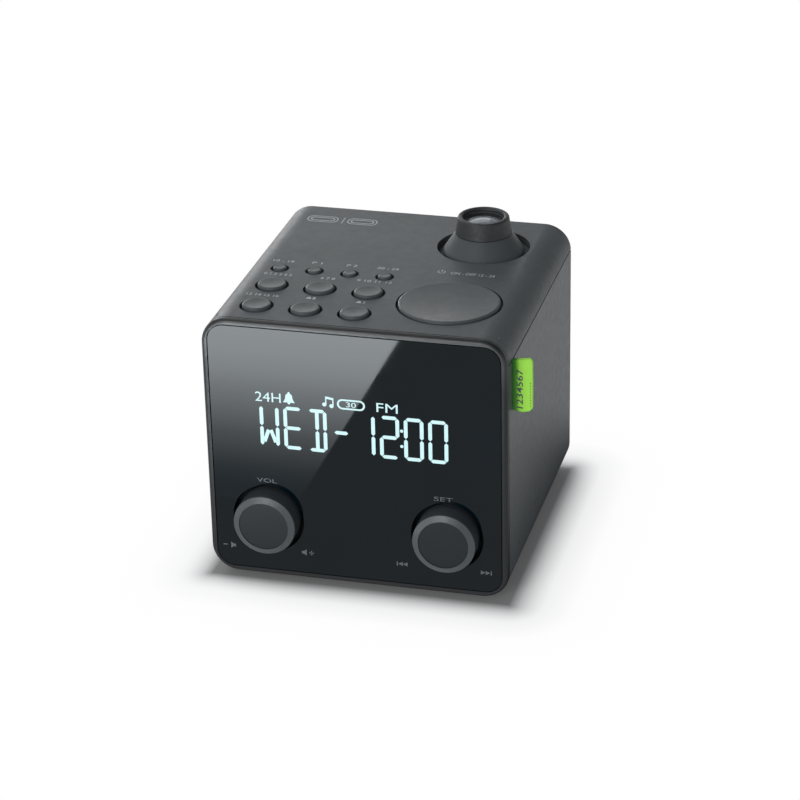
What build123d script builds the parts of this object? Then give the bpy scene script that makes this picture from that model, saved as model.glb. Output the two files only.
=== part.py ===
from build123d import *

import os
from math import hypot, sqrt

# Projection alarm clock: a small cube-shaped clock radio with a projector on its top.
# Millimetres, +Z up. The clock faces -Y and stands on the plane z = 0. The origin is under the
# middle of its whole outline, knobs and ribbon tag included.

# ---------------------------------------------------------------- driving dimensions

# Case
body_width = 115.0
body_height = 104.25
body_depth = 114.4
corner_radius = 10.35
wall = 2.0
parting_gap = 0.55
seam_drop = 9.85
lip_height = 1.2
lip_root = 3.0
lip_thickness = 1.2

# Clearances
slip = 0.3
running = 0.08
snug = 0.05

# Feet
foot_height = 2.0
foot_radius = 5.0
foot_seat_depth = 0.8
foot_inset_side = 16.0
foot_inset_end = 14.0

# Front bezel, carrier plate and front panel
bezel_depth = 2.05
bezel_strip = 2.25
bezel_round = 1.6
panel_thickness = 1.4
panel_gap = 0.35
panel_corner_radius = 6.3
carrier_thickness = 2.0
bezel_post_length = 2.6
tab_thickness = 2.0
tab_size = 9.0

# Display
display_drop = 38.3
window_margin = 16.5
window_height = 30.0
glass_margin = 2.0
glass_thickness = 2.2
holder_margin = 1.5

# Knobs, shafts and encoders
knob_radius = 11.9
knob_reach = 6.8
knob_sink = 3.6
knob_margin = 23.1
knob_rise = 23.9
knob_bevel_width = 2.3
knob_bevel_depth = 1.0
knob_face_radius = 9.5
knob_face_sink = 0.3
knob_face_thickness = 0.6
knob_hollow_radius = 8.0
knob_hollow_depth = 4.1
knob_hole_radius = 13.75
knob_bore_depth = 4.1
knob_round = 0.35
cup_depth = 5.6
cup_wall = 1.2
cup_floor = 1.4
shaft_radius = 3.0
shaft_flat = 0.6
encoder_size = 12.0
encoder_depth = 6.5
encoder_back_wall = 0.5
bushing_radius = 3.5
bushing_reach = 2.2
nut_across = 10.0
nut_thickness = 1.6
plunger_thickness = 1.2
press_travel = 0.5

# Keys on the top
key_margin = 11.05
key_land = 5.82
key_row_front = 14.25
key_row_pitch = 19.55
key_column_count = 3
snooze_land = 5.45
key_edge_rise = 1.1
key_dish = 0.4
preset_margin = 15.67
preset_end_gap = 9.87
preset_count = 4
preset_row = 50.0
preset_hole_radius = 3.6
preset_edge_rise = 0.8
preset_dish = 0.25
snooze_margin = 28.65
snooze_row = 30.5
snooze_hole_radius = 19.8
snooze_edge_rise = 0.9
snooze_dish = 1.1
key_gap = 1.0
snooze_gap = 0.9
key_flange = 1.0
key_flange_thickness = 1.2
key_post_radius = 1.4
key_post_depth = 1.6
key_travel = 0.7
key_round = 0.8
snooze_guide_circle = 13.0
snooze_guide_length = 3.0
snooze_guide_count = 3

# Top board and its switches
board_thickness = 1.6
top_board_drop = 8.0
top_board_front = 5.0
top_board_end_gap = 6.5
switch_size = 6.0
switch_height = 3.5
post_radius = 2.8
post_spread_x = 39.0
post_spread_y = 35.5

# Projector
projector_margin = 28.7
projector_row = 87.0
well_radius = 17.9
well_wall = 1.5
well_depth = 3.0
well_floor = 1.5
turret_base_radius = 15.7
turret_shoulder_drop = 1.2
turret_height = 5.9
turret_top_radius = 10.9
turret_wall = 1.6
turret_round = 0.5
neck_radius = 12.5
neck_length = 5.0
retainer_width = 2.5
retainer_thickness = 1.2
upstand_radius = 8.6
upstand_wall = 0.8
focus_height = 12.7
focus_top_radius = 9.8
focus_lip_thickness = 1.1
focus_opening_radius = 7.8
focus_round = 0.9
barrel_length = 6.0
barrel_wall = 1.9
lens_travel = 0.8
lens_seat_depth = 1.8
lens_edge_thickness = 1.2
lens_dome = 1.1
lens_seat_step = 0.65
slide_width = 11.0
slide_depth = 8.0
slide_thickness = 1.2
slide_holder_wall = 1.2
slide_holder_height = 3.0
lamp_radius = 2.5
lamp_height = 1.8

# Speaker behind the left side
speaker_depth = 66.0
speaker_rise = 50.0
speaker_size = 50.0
speaker_plate_thickness = 1.5
speaker_seat_height = 3.5
speaker_seat_width = 2.5
speaker_cone_radius = 20.5
speaker_cone_throat = 7.0
speaker_cone_depth = 8.0
speaker_cone_thickness = 0.6
basket_wall = 1.2
basket_depth = 13.0
basket_back_radius = 15.0
magnet_radius = 16.0
magnet_thickness = 9.0
speaker_screw_inset = 3.5
cloth_thickness = 0.4
grille_radius = 19.5
grille_hole_radius = 1.1
grille_pitch = 3.6

# Boards inside
front_board_margin = 1.0
main_board_margin = 13.5
main_board_front = 22.0
main_board_end_gap = 11.0
main_board_rise = 10.0
main_post_inset = 5.0
tuner_width = 30.0
tuner_length = 24.0
tuner_height = 5.0
tuner_row = 44.0
tuner_corner_radius = 1.0
capacitor_radius = 4.0
capacitor_height = 11.0
capacitor_pitch = 11.0
capacitor_row = 80.0
capacitor_count = 3
ribbon_thickness = 0.4
ribbon_width = 16.0
ribbon_bend = 3.0
display_ribbon_rise = 26.0
display_ribbon_run = 14.0
key_ribbon_side = 30.0
key_ribbon_step = 8.0
key_ribbon_slant = 16.0

# Rear cover and its sockets
rear_inset = 1.5
rear_thickness = 2.0
rear_boss_radius = 3.4
rear_boss_length = 12.0
boss_inset_side = 9.0
boss_sink = 0.5
socket_rise = 22.0
dc_socket_margin = 31.5
dc_socket_width = 10.0
dc_socket_height = 11.0
dc_socket_length = 14.0
dc_snout_radius = 4.2
dc_bore_radius = 3.1
dc_bore_depth = 9.0
dc_pin_radius = 1.0
audio_socket_spacing = 32.0
audio_socket_size = 8.0
audio_socket_length = 12.0
audio_snout_radius = 3.2
audio_bore_radius = 1.8
audio_bore_depth = 11.0
socket_leg_thickness = 2.0
socket_leg_inset = 1.0
grommet_drop = 18.0
grommet_margin = 19.5
grommet_radius = 3.4
grommet_bore_radius = 1.2
grommet_flange = 1.6
grommet_flange_thickness = 1.0
vent_count = 7
vent_pitch = 5.0
vent_width = 2.0
vent_length = 30.0
vent_drop = 30.0

# Clock battery under the case
cell_radius = 10.0
cell_thickness = 3.2
bay_size = 24.0
bay_wall = 1.2
bay_roof = 1.5
bay_row = 62.0
bay_margin = 41.5
door_thickness = 2.4
door_ledge = 2.0
door_tab = 9.0
contact_thickness = 0.3

# Screws
screw_radius = 1.3
screw_head_radius = 2.4
screw_head_height = 1.4
screw_length = 6.0
drive_length = 2.6
drive_width = 0.6
drive_depth = 0.7

# Ribbon tag in the right side
tag_reach = 7.4
tag_width = 19.8
tag_thickness = 1.6
tag_tail = 2.5
tag_back = 9.5
tag_drop = 0.1

# ---------------------------------------------------------------- derived places

x_mid = -tag_reach / 2
y_front = -(body_depth - knob_reach) / 2
z_base = foot_height
z_top = foot_height + body_height
z_mid = (z_base + z_top) / 2
z_seam = z_top - seam_drop
half_width = body_width / 2

shell_front = bezel_depth + parting_gap
carrier_back = panel_thickness + carrier_thickness
bezel_post_end = carrier_back + bezel_post_length
tab_end = bezel_post_end + tab_thickness
cup_back = cup_depth + cup_floor
board_front = cup_back + encoder_depth
board_back = board_front + board_thickness
rear_face = body_depth - rear_inset
rear_inner = rear_face - rear_thickness

window_width = body_width - 2 * window_margin
knob_spread = body_width - 2 * knob_margin
main_board_width = body_width - 2 * main_board_margin

screw_hole_radius = screw_radius + snug
cover_underside = z_top - wall
floor_top = z_base + wall
knob_height = z_base + knob_rise
display_height = z_top - display_drop

bezel_post_radius = rear_boss_radius - boss_sink - 2 * slip
corner_screw_side = half_width - boss_inset_side
corner_screw_rise = body_height / 2 - wall - rear_boss_radius + boss_sink
corner_screws = [
    (side * corner_screw_side, height * corner_screw_rise)
    for side in (-1, 1)
    for height in (-1, 1)
]
upper_screws = [place for place in corner_screws if place[1] > 0]
lower_screws = [place for place in corner_screws if place[1] < 0]

knob_places = [(-knob_spread / 2, knob_height - z_mid), (knob_spread / 2, knob_height - z_mid)]

snooze_place = (half_width - snooze_margin, snooze_row)
snooze_edge = snooze_place[0] - snooze_hole_radius
key_columns_start = -half_width + key_margin
key_columns_end = snooze_edge - snooze_land
key_columns_room = key_columns_end - key_columns_start - (key_column_count - 1) * key_land
key_hole_radius = key_columns_room / key_column_count / 2
key_pitch = 2 * key_hole_radius + key_land
key_columns = [
    key_columns_start + key_hole_radius + column * key_pitch for column in range(key_column_count)
]
key_rows = [key_row_front + key_row_pitch, key_row_front]
key_places = [(x, y) for y in key_rows for x in key_columns]
preset_start = -half_width + preset_margin
preset_pitch = (snooze_edge - preset_end_gap - preset_start) / (preset_count - 1)
preset_places = [(preset_start + number * preset_pitch, preset_row) for number in range(preset_count)]
switch_places = preset_places + key_places + [snooze_place]
projector_place = (half_width - projector_margin, projector_row)

z_switch_board = cover_underside - top_board_drop
z_switch_top = z_switch_board + switch_height
board_posts = [
    ((key_columns[0] + key_columns[1]) / 2, (key_rows[0] + key_rows[1]) / 2),
    (snooze_place[0] - post_spread_x / 2, snooze_row - post_spread_y / 2),
    (snooze_place[0] - post_spread_x / 2, snooze_row + post_spread_y / 2),
    (snooze_place[0] + post_spread_x / 2, snooze_row - post_spread_y / 2),
    (snooze_place[0] + post_spread_x / 2, snooze_row + post_spread_y / 2),
]

foot_places = [
    (side * (half_width - foot_inset_side), depth)
    for side in (-1, 1)
    for depth in (foot_inset_end, body_depth - foot_inset_end)
]

z_main_board = z_base + main_board_rise
z_main_top = z_main_board + board_thickness
main_board_back = body_depth - main_board_end_gap
main_board_middle = (main_board_front + main_board_back) / 2
main_board_length = main_board_back - main_board_front
main_posts = [
    (side * (main_board_width / 2 - main_post_inset), depth)
    for side in (-1, 1)
    for depth in (main_board_front + main_post_inset, main_board_back - main_post_inset)
]

holder_width = window_width + 2 * (glass_margin + holder_margin)
holder_height = window_height + 2 * (glass_margin + holder_margin)
front_post_side = holder_width / 2 + slip + post_radius
front_board_width = 2 * (front_post_side + post_radius + front_board_margin)
front_board_high = display_height - z_mid + holder_height / 2
front_board_low = -body_height / 2 + wall + 2 * rear_boss_radius - boss_sink + slip
front_posts = [
    (side * front_post_side, height)
    for side in (-1, 1)
    for height in (front_board_low + post_radius, front_board_high - post_radius)
]
lip_inner_side = half_width - wall - slip - lip_thickness
tag_root = lip_inner_side - tag_tail

socket_height = z_base + socket_rise

os.makedirs("parts", exist_ok=True)

# ---------------------------------------------------------------- planes and small helpers


def across(depth):
    """Upright plane across the case, `depth` behind the front face, facing the front."""
    return Plane(origin=(x_mid, y_front + depth, z_mid), x_dir=(1, 0, 0), z_dir=(0, -1, 0))


def level(height):
    """Level plane at a height above the table, measured from the middle of the front face."""
    return Plane(origin=(x_mid, y_front, height))


def beside(depth):
    """Upright plane along the left side, `depth` inside its outer face, facing inwards."""
    return Plane(origin=(x_mid - half_width + depth, y_front, z_base), x_dir=(0, 1, 0), z_dir=(1, 0, 0))


def upright(place):
    """Plane through an upright axis: local x is the radius, local y the height above the top."""
    return Plane(origin=(x_mid + place[0], y_front + place[1], z_top), x_dir=(1, 0, 0), z_dir=(0, -1, 0))


def upright_axis(place):
    """Upright axis through a place on the top."""
    return Axis((x_mid + place[0], y_front + place[1], 0), (0, 0, 1))


def lying(place):
    """Plane through a knob's axis: local x is the radius, local y the depth behind the front."""
    return Plane(origin=(x_mid + place[0], y_front, z_mid + place[1]), x_dir=(1, 0, 0), z_dir=(0, 0, 1))


def lying_axis(place):
    """Axis of a knob, from the front to the back."""
    return Axis((x_mid + place[0], y_front, z_mid + place[1]), (0, 1, 0))


def speaker_section():
    """Plane through the speaker's axis: local x runs inwards, local y is the radius."""
    x_seat = x_mid - half_width + wall + speaker_seat_height
    origin = (x_seat, y_front + speaker_depth, z_base + speaker_rise)
    return Plane(origin=origin, x_dir=(1, 0, 0), z_dir=(0, -1, 0))


def speaker_axis():
    """Axis of the speaker, from the left side inwards."""
    return Axis(speaker_section().origin, (1, 0, 0))


def rounds(plane, places, radius):
    """Round faces of one radius at places on a plane."""
    with BuildSketch(plane) as faces:
        with Locations(*places):
            Circle(radius)
    return faces.sketch


def crosses(plane, places, length, width):
    """Cross-shaped faces at places on a plane, for the drives of screws."""
    with BuildSketch(plane) as faces:
        with Locations(*places):
            Rectangle(length, width)
            Rectangle(width, length)
    return faces.sketch


def add_posts(plane, places, radius, amount):
    """Round posts raised from a plane; the sign of amount gives the side."""
    extrude(rounds(plane, places, radius), amount=amount)


def cut_holes(plane, places, radius, amount):
    """Round holes cut from a plane; the sign of amount gives the side."""
    extrude(rounds(plane, places, radius), amount=amount, mode=Mode.SUBTRACT)


def closed_edges(piece):
    """The round edges of a turned piece."""
    return piece.edges().filter_by(lambda edge: edge.is_closed)


def add_screws(plane, places, head_side):
    """Pan-head screws seated on a plane; head_side is 1 where the plane's normal points at the head."""
    head_plane = plane.offset(head_side * screw_head_height)
    add_posts(plane, places, screw_head_radius, head_side * screw_head_height)
    add_posts(plane, places, screw_radius, -head_side * screw_length)
    drives = crosses(head_plane, places, drive_length, drive_width)
    extrude(drives, amount=-head_side * drive_depth, mode=Mode.SUBTRACT)


# ---------------------------------------------------------------- case

shell_length = body_depth - shell_front

with BuildPart() as top_cover:
    with BuildSketch(across(shell_front)):
        RectangleRounded(body_width, body_height, corner_radius)
        offset(amount=-wall, mode=Mode.SUBTRACT)
        with Locations((0, z_seam + parting_gap / 2 - z_mid)):
            Rectangle(body_width, body_height, align=(Align.CENTER, Align.MIN), mode=Mode.INTERSECT)
    extrude(amount=-shell_length)
    # screw bosses for the rear cover, and tabs for the bezel's screws
    add_posts(across(rear_inner), upper_screws, rear_boss_radius, rear_boss_length)
    with BuildSketch(across(tab_end)):
        with Locations(*upper_screws):
            Rectangle(tab_size, 2 * rear_boss_radius)
    extrude(amount=tab_thickness)
    # posts that carry the key board
    add_posts(level(z_switch_board), board_posts, post_radius, top_board_drop + wall / 2)
    cut_holes(level(z_switch_board), board_posts, screw_hole_radius, screw_length - board_thickness + slip)
    cut_holes(across(rear_inner), upper_screws, screw_hole_radius, screw_length - rear_thickness + slip)
    cut_holes(across(tab_end), upper_screws, screw_hole_radius, tab_thickness)
    # well of the projector
    with BuildSketch(level(z_top)):
        with Locations(projector_place):
            Circle(well_radius + well_wall)
    extrude(amount=-well_depth - well_floor)
    cut_holes(level(z_top), [projector_place], well_radius, -well_depth)
    cut_holes(level(z_top), [projector_place], neck_radius + running, -well_depth - well_floor)
    # key holes
    cut_holes(level(z_top), key_places, key_hole_radius, -wall)
    cut_holes(level(z_top), preset_places, preset_hole_radius, -wall)
    cut_holes(level(z_top), [snooze_place], snooze_hole_radius, -wall)
    # round pocket that clears the snooze key's flange under the curve of the edge
    cut_holes(
        level(cover_underside),
        [snooze_place],
        snooze_hole_radius + key_flange + slip,
        -slip - key_flange_thickness - key_travel,
    )
top_cover.part.label = "top_cover"
export_step(top_cover.part, "parts/top_cover.step")

bay_side = half_width - bay_margin
bay_floor = z_base + door_thickness
bay_top = bay_floor + slip + cell_thickness + contact_thickness + slip
bay_block_length = bay_size + 2 * (door_ledge + bay_wall) + door_tab
door_middle = bay_row + door_tab / 2
door_screw_place = (bay_side, bay_row + bay_size / 2 + door_ledge + door_tab / 2)
door_screw_end = z_base + screw_head_height + screw_length + slip
speaker_place = (speaker_depth, speaker_rise)
speaker_seat = wall + speaker_seat_height
speaker_screws_at = [
    (speaker_depth + side * (speaker_size / 2 - speaker_screw_inset),
     speaker_rise + height * (speaker_size / 2 - speaker_screw_inset))
    for side in (-1, 1)
    for height in (-1, 1)
]
grille_row_pitch = grille_pitch * sqrt(3) / 2
grille_reach = int(grille_radius / grille_row_pitch) + 1
grille_places = [
    (speaker_depth + (column + (row % 2) / 2) * grille_pitch, speaker_rise + row * grille_row_pitch)
    for row in range(-grille_reach, grille_reach + 1)
    for column in range(-grille_reach, grille_reach + 1)
    if hypot((column + (row % 2) / 2) * grille_pitch, row * grille_row_pitch) < grille_radius
]
tag_top = z_seam - parting_gap / 2 - tag_drop
tag_low = tag_top - tag_width

with BuildPart() as lower_shell:
    with BuildSketch(across(shell_front)):
        RectangleRounded(body_width, body_height, corner_radius)
        offset(amount=-wall, mode=Mode.SUBTRACT)
        with Locations((0, z_seam - parting_gap / 2 - z_mid)):
            Rectangle(body_width, body_height, align=(Align.CENTER, Align.MAX), mode=Mode.INTERSECT)
    extrude(amount=-shell_length)
    # tongue that stands up inside the top cover along both sides
    with BuildSketch(across(carrier_back + slip)):
        for side in (-1, 1):
            with Locations((side * (lip_inner_side + lip_thickness / 2), z_seam - z_mid - lip_root)):
                Rectangle(lip_thickness, lip_root + lip_height, align=(Align.CENTER, Align.MIN))
            with Locations((side * (half_width - wall - slip / 2), z_seam - z_mid - lip_root)):
                Rectangle(2 * slip, lip_root - parting_gap, align=(Align.CENTER, Align.MIN))
    extrude(amount=-(rear_inner - slip - carrier_back - slip))
    # screw bosses for the rear cover, and tabs for the bezel's screws
    add_posts(across(rear_inner), lower_screws, rear_boss_radius, rear_boss_length)
    with BuildSketch(across(tab_end)):
        with Locations(*lower_screws):
            Rectangle(tab_size, 2 * rear_boss_radius)
    extrude(amount=tab_thickness)
    cut_holes(across(rear_inner), lower_screws, screw_hole_radius, screw_length - rear_thickness + slip)
    cut_holes(across(tab_end), lower_screws, screw_hole_radius, tab_thickness)
    # posts that carry the main board
    add_posts(level(floor_top - wall / 2), main_posts, post_radius, z_main_board - floor_top + wall / 2)
    cut_holes(level(z_main_board), main_posts, screw_hole_radius, board_thickness - screw_length - slip)
    # seat ring and screw posts of the speaker, and the sound holes
    with BuildSketch(beside(wall / 2)):
        with Locations(speaker_place):
            Circle(speaker_cone_radius + speaker_seat_width)
            Circle(speaker_cone_radius, mode=Mode.SUBTRACT)
    extrude(amount=wall / 2 + speaker_seat_height)
    add_posts(beside(wall / 2), speaker_screws_at, post_radius, wall / 2 + speaker_seat_height)
    cut_holes(beside(speaker_seat), speaker_screws_at, screw_hole_radius, wall / 2 - speaker_seat)
    cut_holes(beside(0), grille_places, grille_hole_radius, wall)
    # battery bay, open below
    with BuildSketch(level(z_base)):
        with Locations((bay_side, door_middle)):
            Rectangle(bay_size + 2 * (door_ledge + bay_wall), bay_block_length)
    extrude(amount=bay_top + bay_roof - z_base)
    with BuildSketch(level(z_base)):
        with Locations((bay_side, bay_row)):
            Rectangle(bay_size, bay_size)
    extrude(amount=bay_top - z_base, mode=Mode.SUBTRACT)
    with BuildSketch(level(z_base)):
        with Locations((bay_side, door_middle)):
            Rectangle(bay_size + 2 * door_ledge, bay_size + 2 * door_ledge + door_tab)
    extrude(amount=door_thickness, mode=Mode.SUBTRACT)
    cut_holes(level(bay_floor), [door_screw_place], screw_hole_radius, door_screw_end - bay_floor)
    # seats of the feet
    cut_holes(level(z_base), foot_places, foot_radius + snug, foot_seat_depth)
    # slot for the ribbon tag in the right side, open to the seam
    with BuildSketch(level(tag_low - slip)):
        with Locations((half_width, tag_back)):
            Rectangle(2 * (wall + slip + lip_thickness + tag_tail), tag_thickness + 2 * slip)
    extrude(amount=tag_width + slip + tag_drop + parting_gap + lip_height, mode=Mode.SUBTRACT)
lower_shell.part.label = "lower_shell"
export_step(lower_shell.part, "parts/lower_shell.step")

carrier_inset = wall + slip
knob_cup_radius = knob_hole_radius + cup_wall

with BuildPart() as front_bezel:
    with BuildSketch(across(0)):
        RectangleRounded(body_width, body_height, corner_radius)
    extrude(amount=-bezel_depth)
    fillet(front_bezel.edges().group_by(Axis.Y)[0], bezel_round)
    with BuildSketch(across(bezel_depth)):
        RectangleRounded(
            body_width - 2 * carrier_inset, body_height - 2 * carrier_inset, corner_radius - carrier_inset
        )
    extrude(amount=-(carrier_back - bezel_depth))
    # cups behind the knobs
    add_posts(across(cup_back), knob_places, knob_cup_radius, cup_back - panel_thickness)
    # posts for the case tabs and for the front board
    add_posts(across(bezel_post_end), corner_screws, bezel_post_radius, bezel_post_length)
    add_posts(across(board_front), front_posts, post_radius, board_front - carrier_back)
    # recess of the front panel
    with BuildSketch(across(0)):
        RectangleRounded(
            body_width - 2 * bezel_strip,
            body_height - 2 * bezel_strip,
            panel_corner_radius + panel_gap,
        )
    extrude(amount=-panel_thickness, mode=Mode.SUBTRACT)
    cut_holes(across(0), knob_places, knob_hole_radius, -cup_depth)
    cut_holes(across(0), knob_places, bushing_radius + snug, -cup_back)
    # window of the display
    with BuildSketch(across(0)):
        with Locations((0, display_height - z_mid)):
            Rectangle(window_width, window_height)
    extrude(amount=-carrier_back, mode=Mode.SUBTRACT)
    cut_holes(across(bezel_post_end), corner_screws, screw_hole_radius, screw_length - tab_thickness + slip)
    cut_holes(across(board_front), front_posts, screw_hole_radius, screw_length - board_thickness + slip)
front_bezel.part.label = "front_bezel"
export_step(front_bezel.part, "parts/front_bezel.step")

with BuildPart() as front_lens:
    with BuildSketch(across(0)):
        RectangleRounded(
            body_width - 2 * (bezel_strip + panel_gap),
            body_height - 2 * (bezel_strip + panel_gap),
            panel_corner_radius,
        )
        with Locations(*knob_places):
            Circle(knob_hole_radius, mode=Mode.SUBTRACT)
    extrude(amount=-panel_thickness)
front_lens.part.label = "front_lens"
export_step(front_lens.part, "parts/front_lens.step")

rear_outline = (body_width - 2 * carrier_inset, body_height - 2 * carrier_inset)
vent_height = body_height / 2 - vent_drop
vent_places = [
    ((number - (vent_count - 1) / 2) * vent_pitch, vent_height) for number in range(vent_count)
]
dc_place = (-half_width + dc_socket_margin, socket_height - z_mid)
audio_place = (dc_place[0] + audio_socket_spacing, socket_height - z_mid)
grommet_place = (half_width - grommet_margin, body_height / 2 - grommet_drop)

with BuildPart() as rear_cover:
    with BuildSketch(across(rear_inner)):
        RectangleRounded(*rear_outline, corner_radius - carrier_inset)
        with Locations(*vent_places):
            SlotOverall(vent_length, vent_width, rotation=90, mode=Mode.SUBTRACT)
        with Locations(*corner_screws):
            Circle(screw_hole_radius, mode=Mode.SUBTRACT)
        with Locations(dc_place):
            Circle(dc_snout_radius + slip, mode=Mode.SUBTRACT)
        with Locations(audio_place):
            Circle(audio_snout_radius + slip, mode=Mode.SUBTRACT)
        with Locations(grommet_place):
            Circle(grommet_radius + snug, mode=Mode.SUBTRACT)
    extrude(amount=-rear_thickness)
rear_cover.part.label = "rear_cover"
export_step(rear_cover.part, "parts/rear_cover.step")

with BuildPart() as feet:
    add_posts(level(0), foot_places, foot_radius, foot_height + foot_seat_depth)
feet.part.label = "feet"
export_step(feet.part, "parts/feet.step")

with BuildPart() as case_screws:
    add_screws(across(rear_face), corner_screws, -1)
    add_screws(across(tab_end), corner_screws, -1)
    add_screws(level(z_base + screw_head_height), [door_screw_place], -1)
case_screws.part.label = "case_screws"
export_step(case_screws.part, "parts/case_screws.step")

# ---------------------------------------------------------------- display

glass_back = carrier_back + glass_thickness

with BuildPart() as display_glass:
    with BuildSketch(across(carrier_back)):
        with Locations((0, display_height - z_mid)):
            Rectangle(window_width + 2 * glass_margin, window_height + 2 * glass_margin)
    extrude(amount=-glass_thickness)
display_glass.part.label = "display_glass"
export_step(display_glass.part, "parts/display_glass.step")

with BuildPart() as display_holder:
    with BuildSketch(across(glass_back)):
        with Locations((0, display_height - z_mid)):
            Rectangle(holder_width, holder_height)
    extrude(amount=-(board_front - glass_back))
display_holder.part.label = "display_holder"
export_step(display_holder.part, "parts/display_holder.step")

with BuildPart() as front_board:
    with BuildSketch(across(board_front)):
        with Locations((0, (front_board_high + front_board_low) / 2)):
            Rectangle(front_board_width, front_board_high - front_board_low)
        with Locations(*front_posts):
            Circle(screw_hole_radius, mode=Mode.SUBTRACT)
    extrude(amount=-board_thickness)
front_board.part.label = "front_board"
export_step(front_board.part, "parts/front_board.step")

# ---------------------------------------------------------------- knobs and encoders

bushing_front = cup_depth - bushing_reach
shaft_end = board_front - encoder_back_wall
encoder_bore_depth = shaft_end - bushing_front
knob_bore_end = knob_sink - knob_hollow_depth - knob_bore_depth
plunger_front = shaft_end - press_travel - plunger_thickness - snug

with BuildPart() as encoder_bodies:
    with BuildSketch(across(cup_back)):
        with Locations(*knob_places):
            Rectangle(encoder_size, encoder_size)
    extrude(amount=-encoder_depth)
    add_posts(across(cup_back), knob_places, bushing_radius, cup_back - bushing_front)
    cut_holes(across(bushing_front), knob_places, shaft_radius + running, -encoder_bore_depth)
encoder_bodies.part.label = "encoder_bodies"
export_step(encoder_bodies.part, "parts/encoder_bodies.step")

with BuildPart() as encoder_nuts:
    with BuildSketch(across(cup_depth)):
        with Locations(*knob_places):
            RegularPolygon(nut_across / sqrt(3), 6)
            Circle(bushing_radius + snug, mode=Mode.SUBTRACT)
    extrude(amount=nut_thickness)
encoder_nuts.part.label = "encoder_nuts"
export_step(encoder_nuts.part, "parts/encoder_nuts.step")


def draw_flatted_circle(place, radius, flat):
    """Round section with a flat, for a shaft end and its bore."""
    with Locations(place):
        Circle(radius)
        with Locations((0, radius - flat)):
            Rectangle(2 * radius, radius, align=(Align.CENTER, Align.MIN), mode=Mode.SUBTRACT)


def build_knob(place):
    """Knob: a barrel with a bevelled rim, hollow behind, with a flatted bore for its shaft."""
    with BuildPart() as knob:
        with BuildSketch(lying(place)):
            with BuildLine():
                Polyline(
                    (0, knob_sink),
                    (knob_radius, knob_sink),
                    (knob_radius, knob_bevel_depth - knob_reach),
                    (knob_radius - knob_bevel_width, -knob_reach),
                    (0, -knob_reach),
                    close=True,
                )
            make_face()
        revolve(axis=lying_axis(place))
        fillet(closed_edges(knob).sort_by(Axis.Y)[:2], knob_round)
        cut_holes(
            across(-knob_reach), [place], knob_face_radius + snug, -knob_face_sink - knob_face_thickness
        )
        cut_holes(across(knob_sink), [place], knob_hollow_radius, knob_hollow_depth)
        with BuildSketch(across(knob_sink - knob_hollow_depth)):
            draw_flatted_circle(place, shaft_radius + snug, shaft_flat)
        extrude(amount=knob_bore_depth, mode=Mode.SUBTRACT)
    return knob


def build_knob_face(place):
    """Thin disc let into a knob's front."""
    with BuildPart() as disc:
        with BuildSketch(across(knob_face_sink - knob_reach)):
            with Locations(place):
                Circle(knob_face_radius)
        extrude(amount=-knob_face_thickness)
    return disc


def build_shaft(place, end):
    """Encoder shaft: round in its bushing, flatted where the knob sits on it."""
    with BuildPart() as shaft:
        with BuildSketch(across(end)):
            with Locations(place):
                Circle(shaft_radius)
        extrude(amount=end - bushing_front)
        with BuildSketch(across(bushing_front)):
            draw_flatted_circle(place, shaft_radius, shaft_flat)
        extrude(amount=bushing_front - knob_bore_end - slip)
    return shaft


volume_place, select_place = knob_places

volume_knob = build_knob(volume_place)
volume_knob.part.label = "volume_knob"
export_step(volume_knob.part, "parts/volume_knob.step")

volume_knob_face = build_knob_face(volume_place)
volume_knob_face.part.label = "volume_knob_face"
export_step(volume_knob_face.part, "parts/volume_knob_face.step")

volume_shaft = build_shaft(volume_place, shaft_end - slip)
volume_shaft.part.label = "volume_shaft"
export_step(volume_shaft.part, "parts/volume_shaft.step")

select_knob = build_knob(select_place)
select_knob.part.label = "select_knob"
export_step(select_knob.part, "parts/select_knob.step")

select_knob_face = build_knob_face(select_place)
select_knob_face.part.label = "select_knob_face"
export_step(select_knob_face.part, "parts/select_knob_face.step")

select_shaft = build_shaft(select_place, plunger_front - snug)
select_shaft.part.label = "select_shaft"
export_step(select_shaft.part, "parts/select_shaft.step")

with BuildPart() as select_plunger:
    with BuildSketch(across(plunger_front)):
        with Locations(select_place):
            Circle(shaft_radius)
    extrude(amount=-plunger_thickness)
select_plunger.part.label = "select_plunger"
export_step(select_plunger.part, "parts/select_plunger.step")

# ---------------------------------------------------------------- keys and their board

flange_top = -wall - slip
flange_low = flange_top - key_flange_thickness
post_tip = z_switch_top - key_post_depth - z_top


def build_key(place, hole_radius, gap, edge_rise, dish):
    """Round key: dished cap in its hole, flange under the cover, post down into its switch."""
    cap_radius = hole_radius - gap
    middle_rise = edge_rise - dish
    with BuildPart() as key:
        with BuildSketch(upright(place)):
            with BuildLine():
                Polyline(
                    (0, middle_rise),
                    (0, post_tip),
                    (key_post_radius, post_tip),
                    (key_post_radius, flange_low),
                    (hole_radius + key_flange, flange_low),
                    (hole_radius + key_flange, flange_top),
                    (cap_radius, flange_top),
                    (cap_radius, edge_rise),
                )
                TangentArc((0, middle_rise), (cap_radius, edge_rise), tangent=(1, 0))
            make_face()
        revolve(axis=upright_axis(place))
        fillet(closed_edges(key).sort_by(Axis.Z)[-1], key_round)
    return key


for number, place in enumerate(preset_places, start=1):
    preset_key = build_key(place, preset_hole_radius, key_gap, preset_edge_rise, preset_dish)
    preset_key.part.label = f"preset_key_{number}"
    export_step(preset_key.part, f"parts/preset_key_{number}.step")

for number, place in enumerate(key_places, start=1):
    function_key = build_key(place, key_hole_radius, key_gap, key_edge_rise, key_dish)
    function_key.part.label = f"function_key_{number}"
    export_step(function_key.part, f"parts/function_key_{number}.step")

snooze_cap = build_key(snooze_place, snooze_hole_radius, snooze_gap, snooze_edge_rise, snooze_dish)

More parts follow.
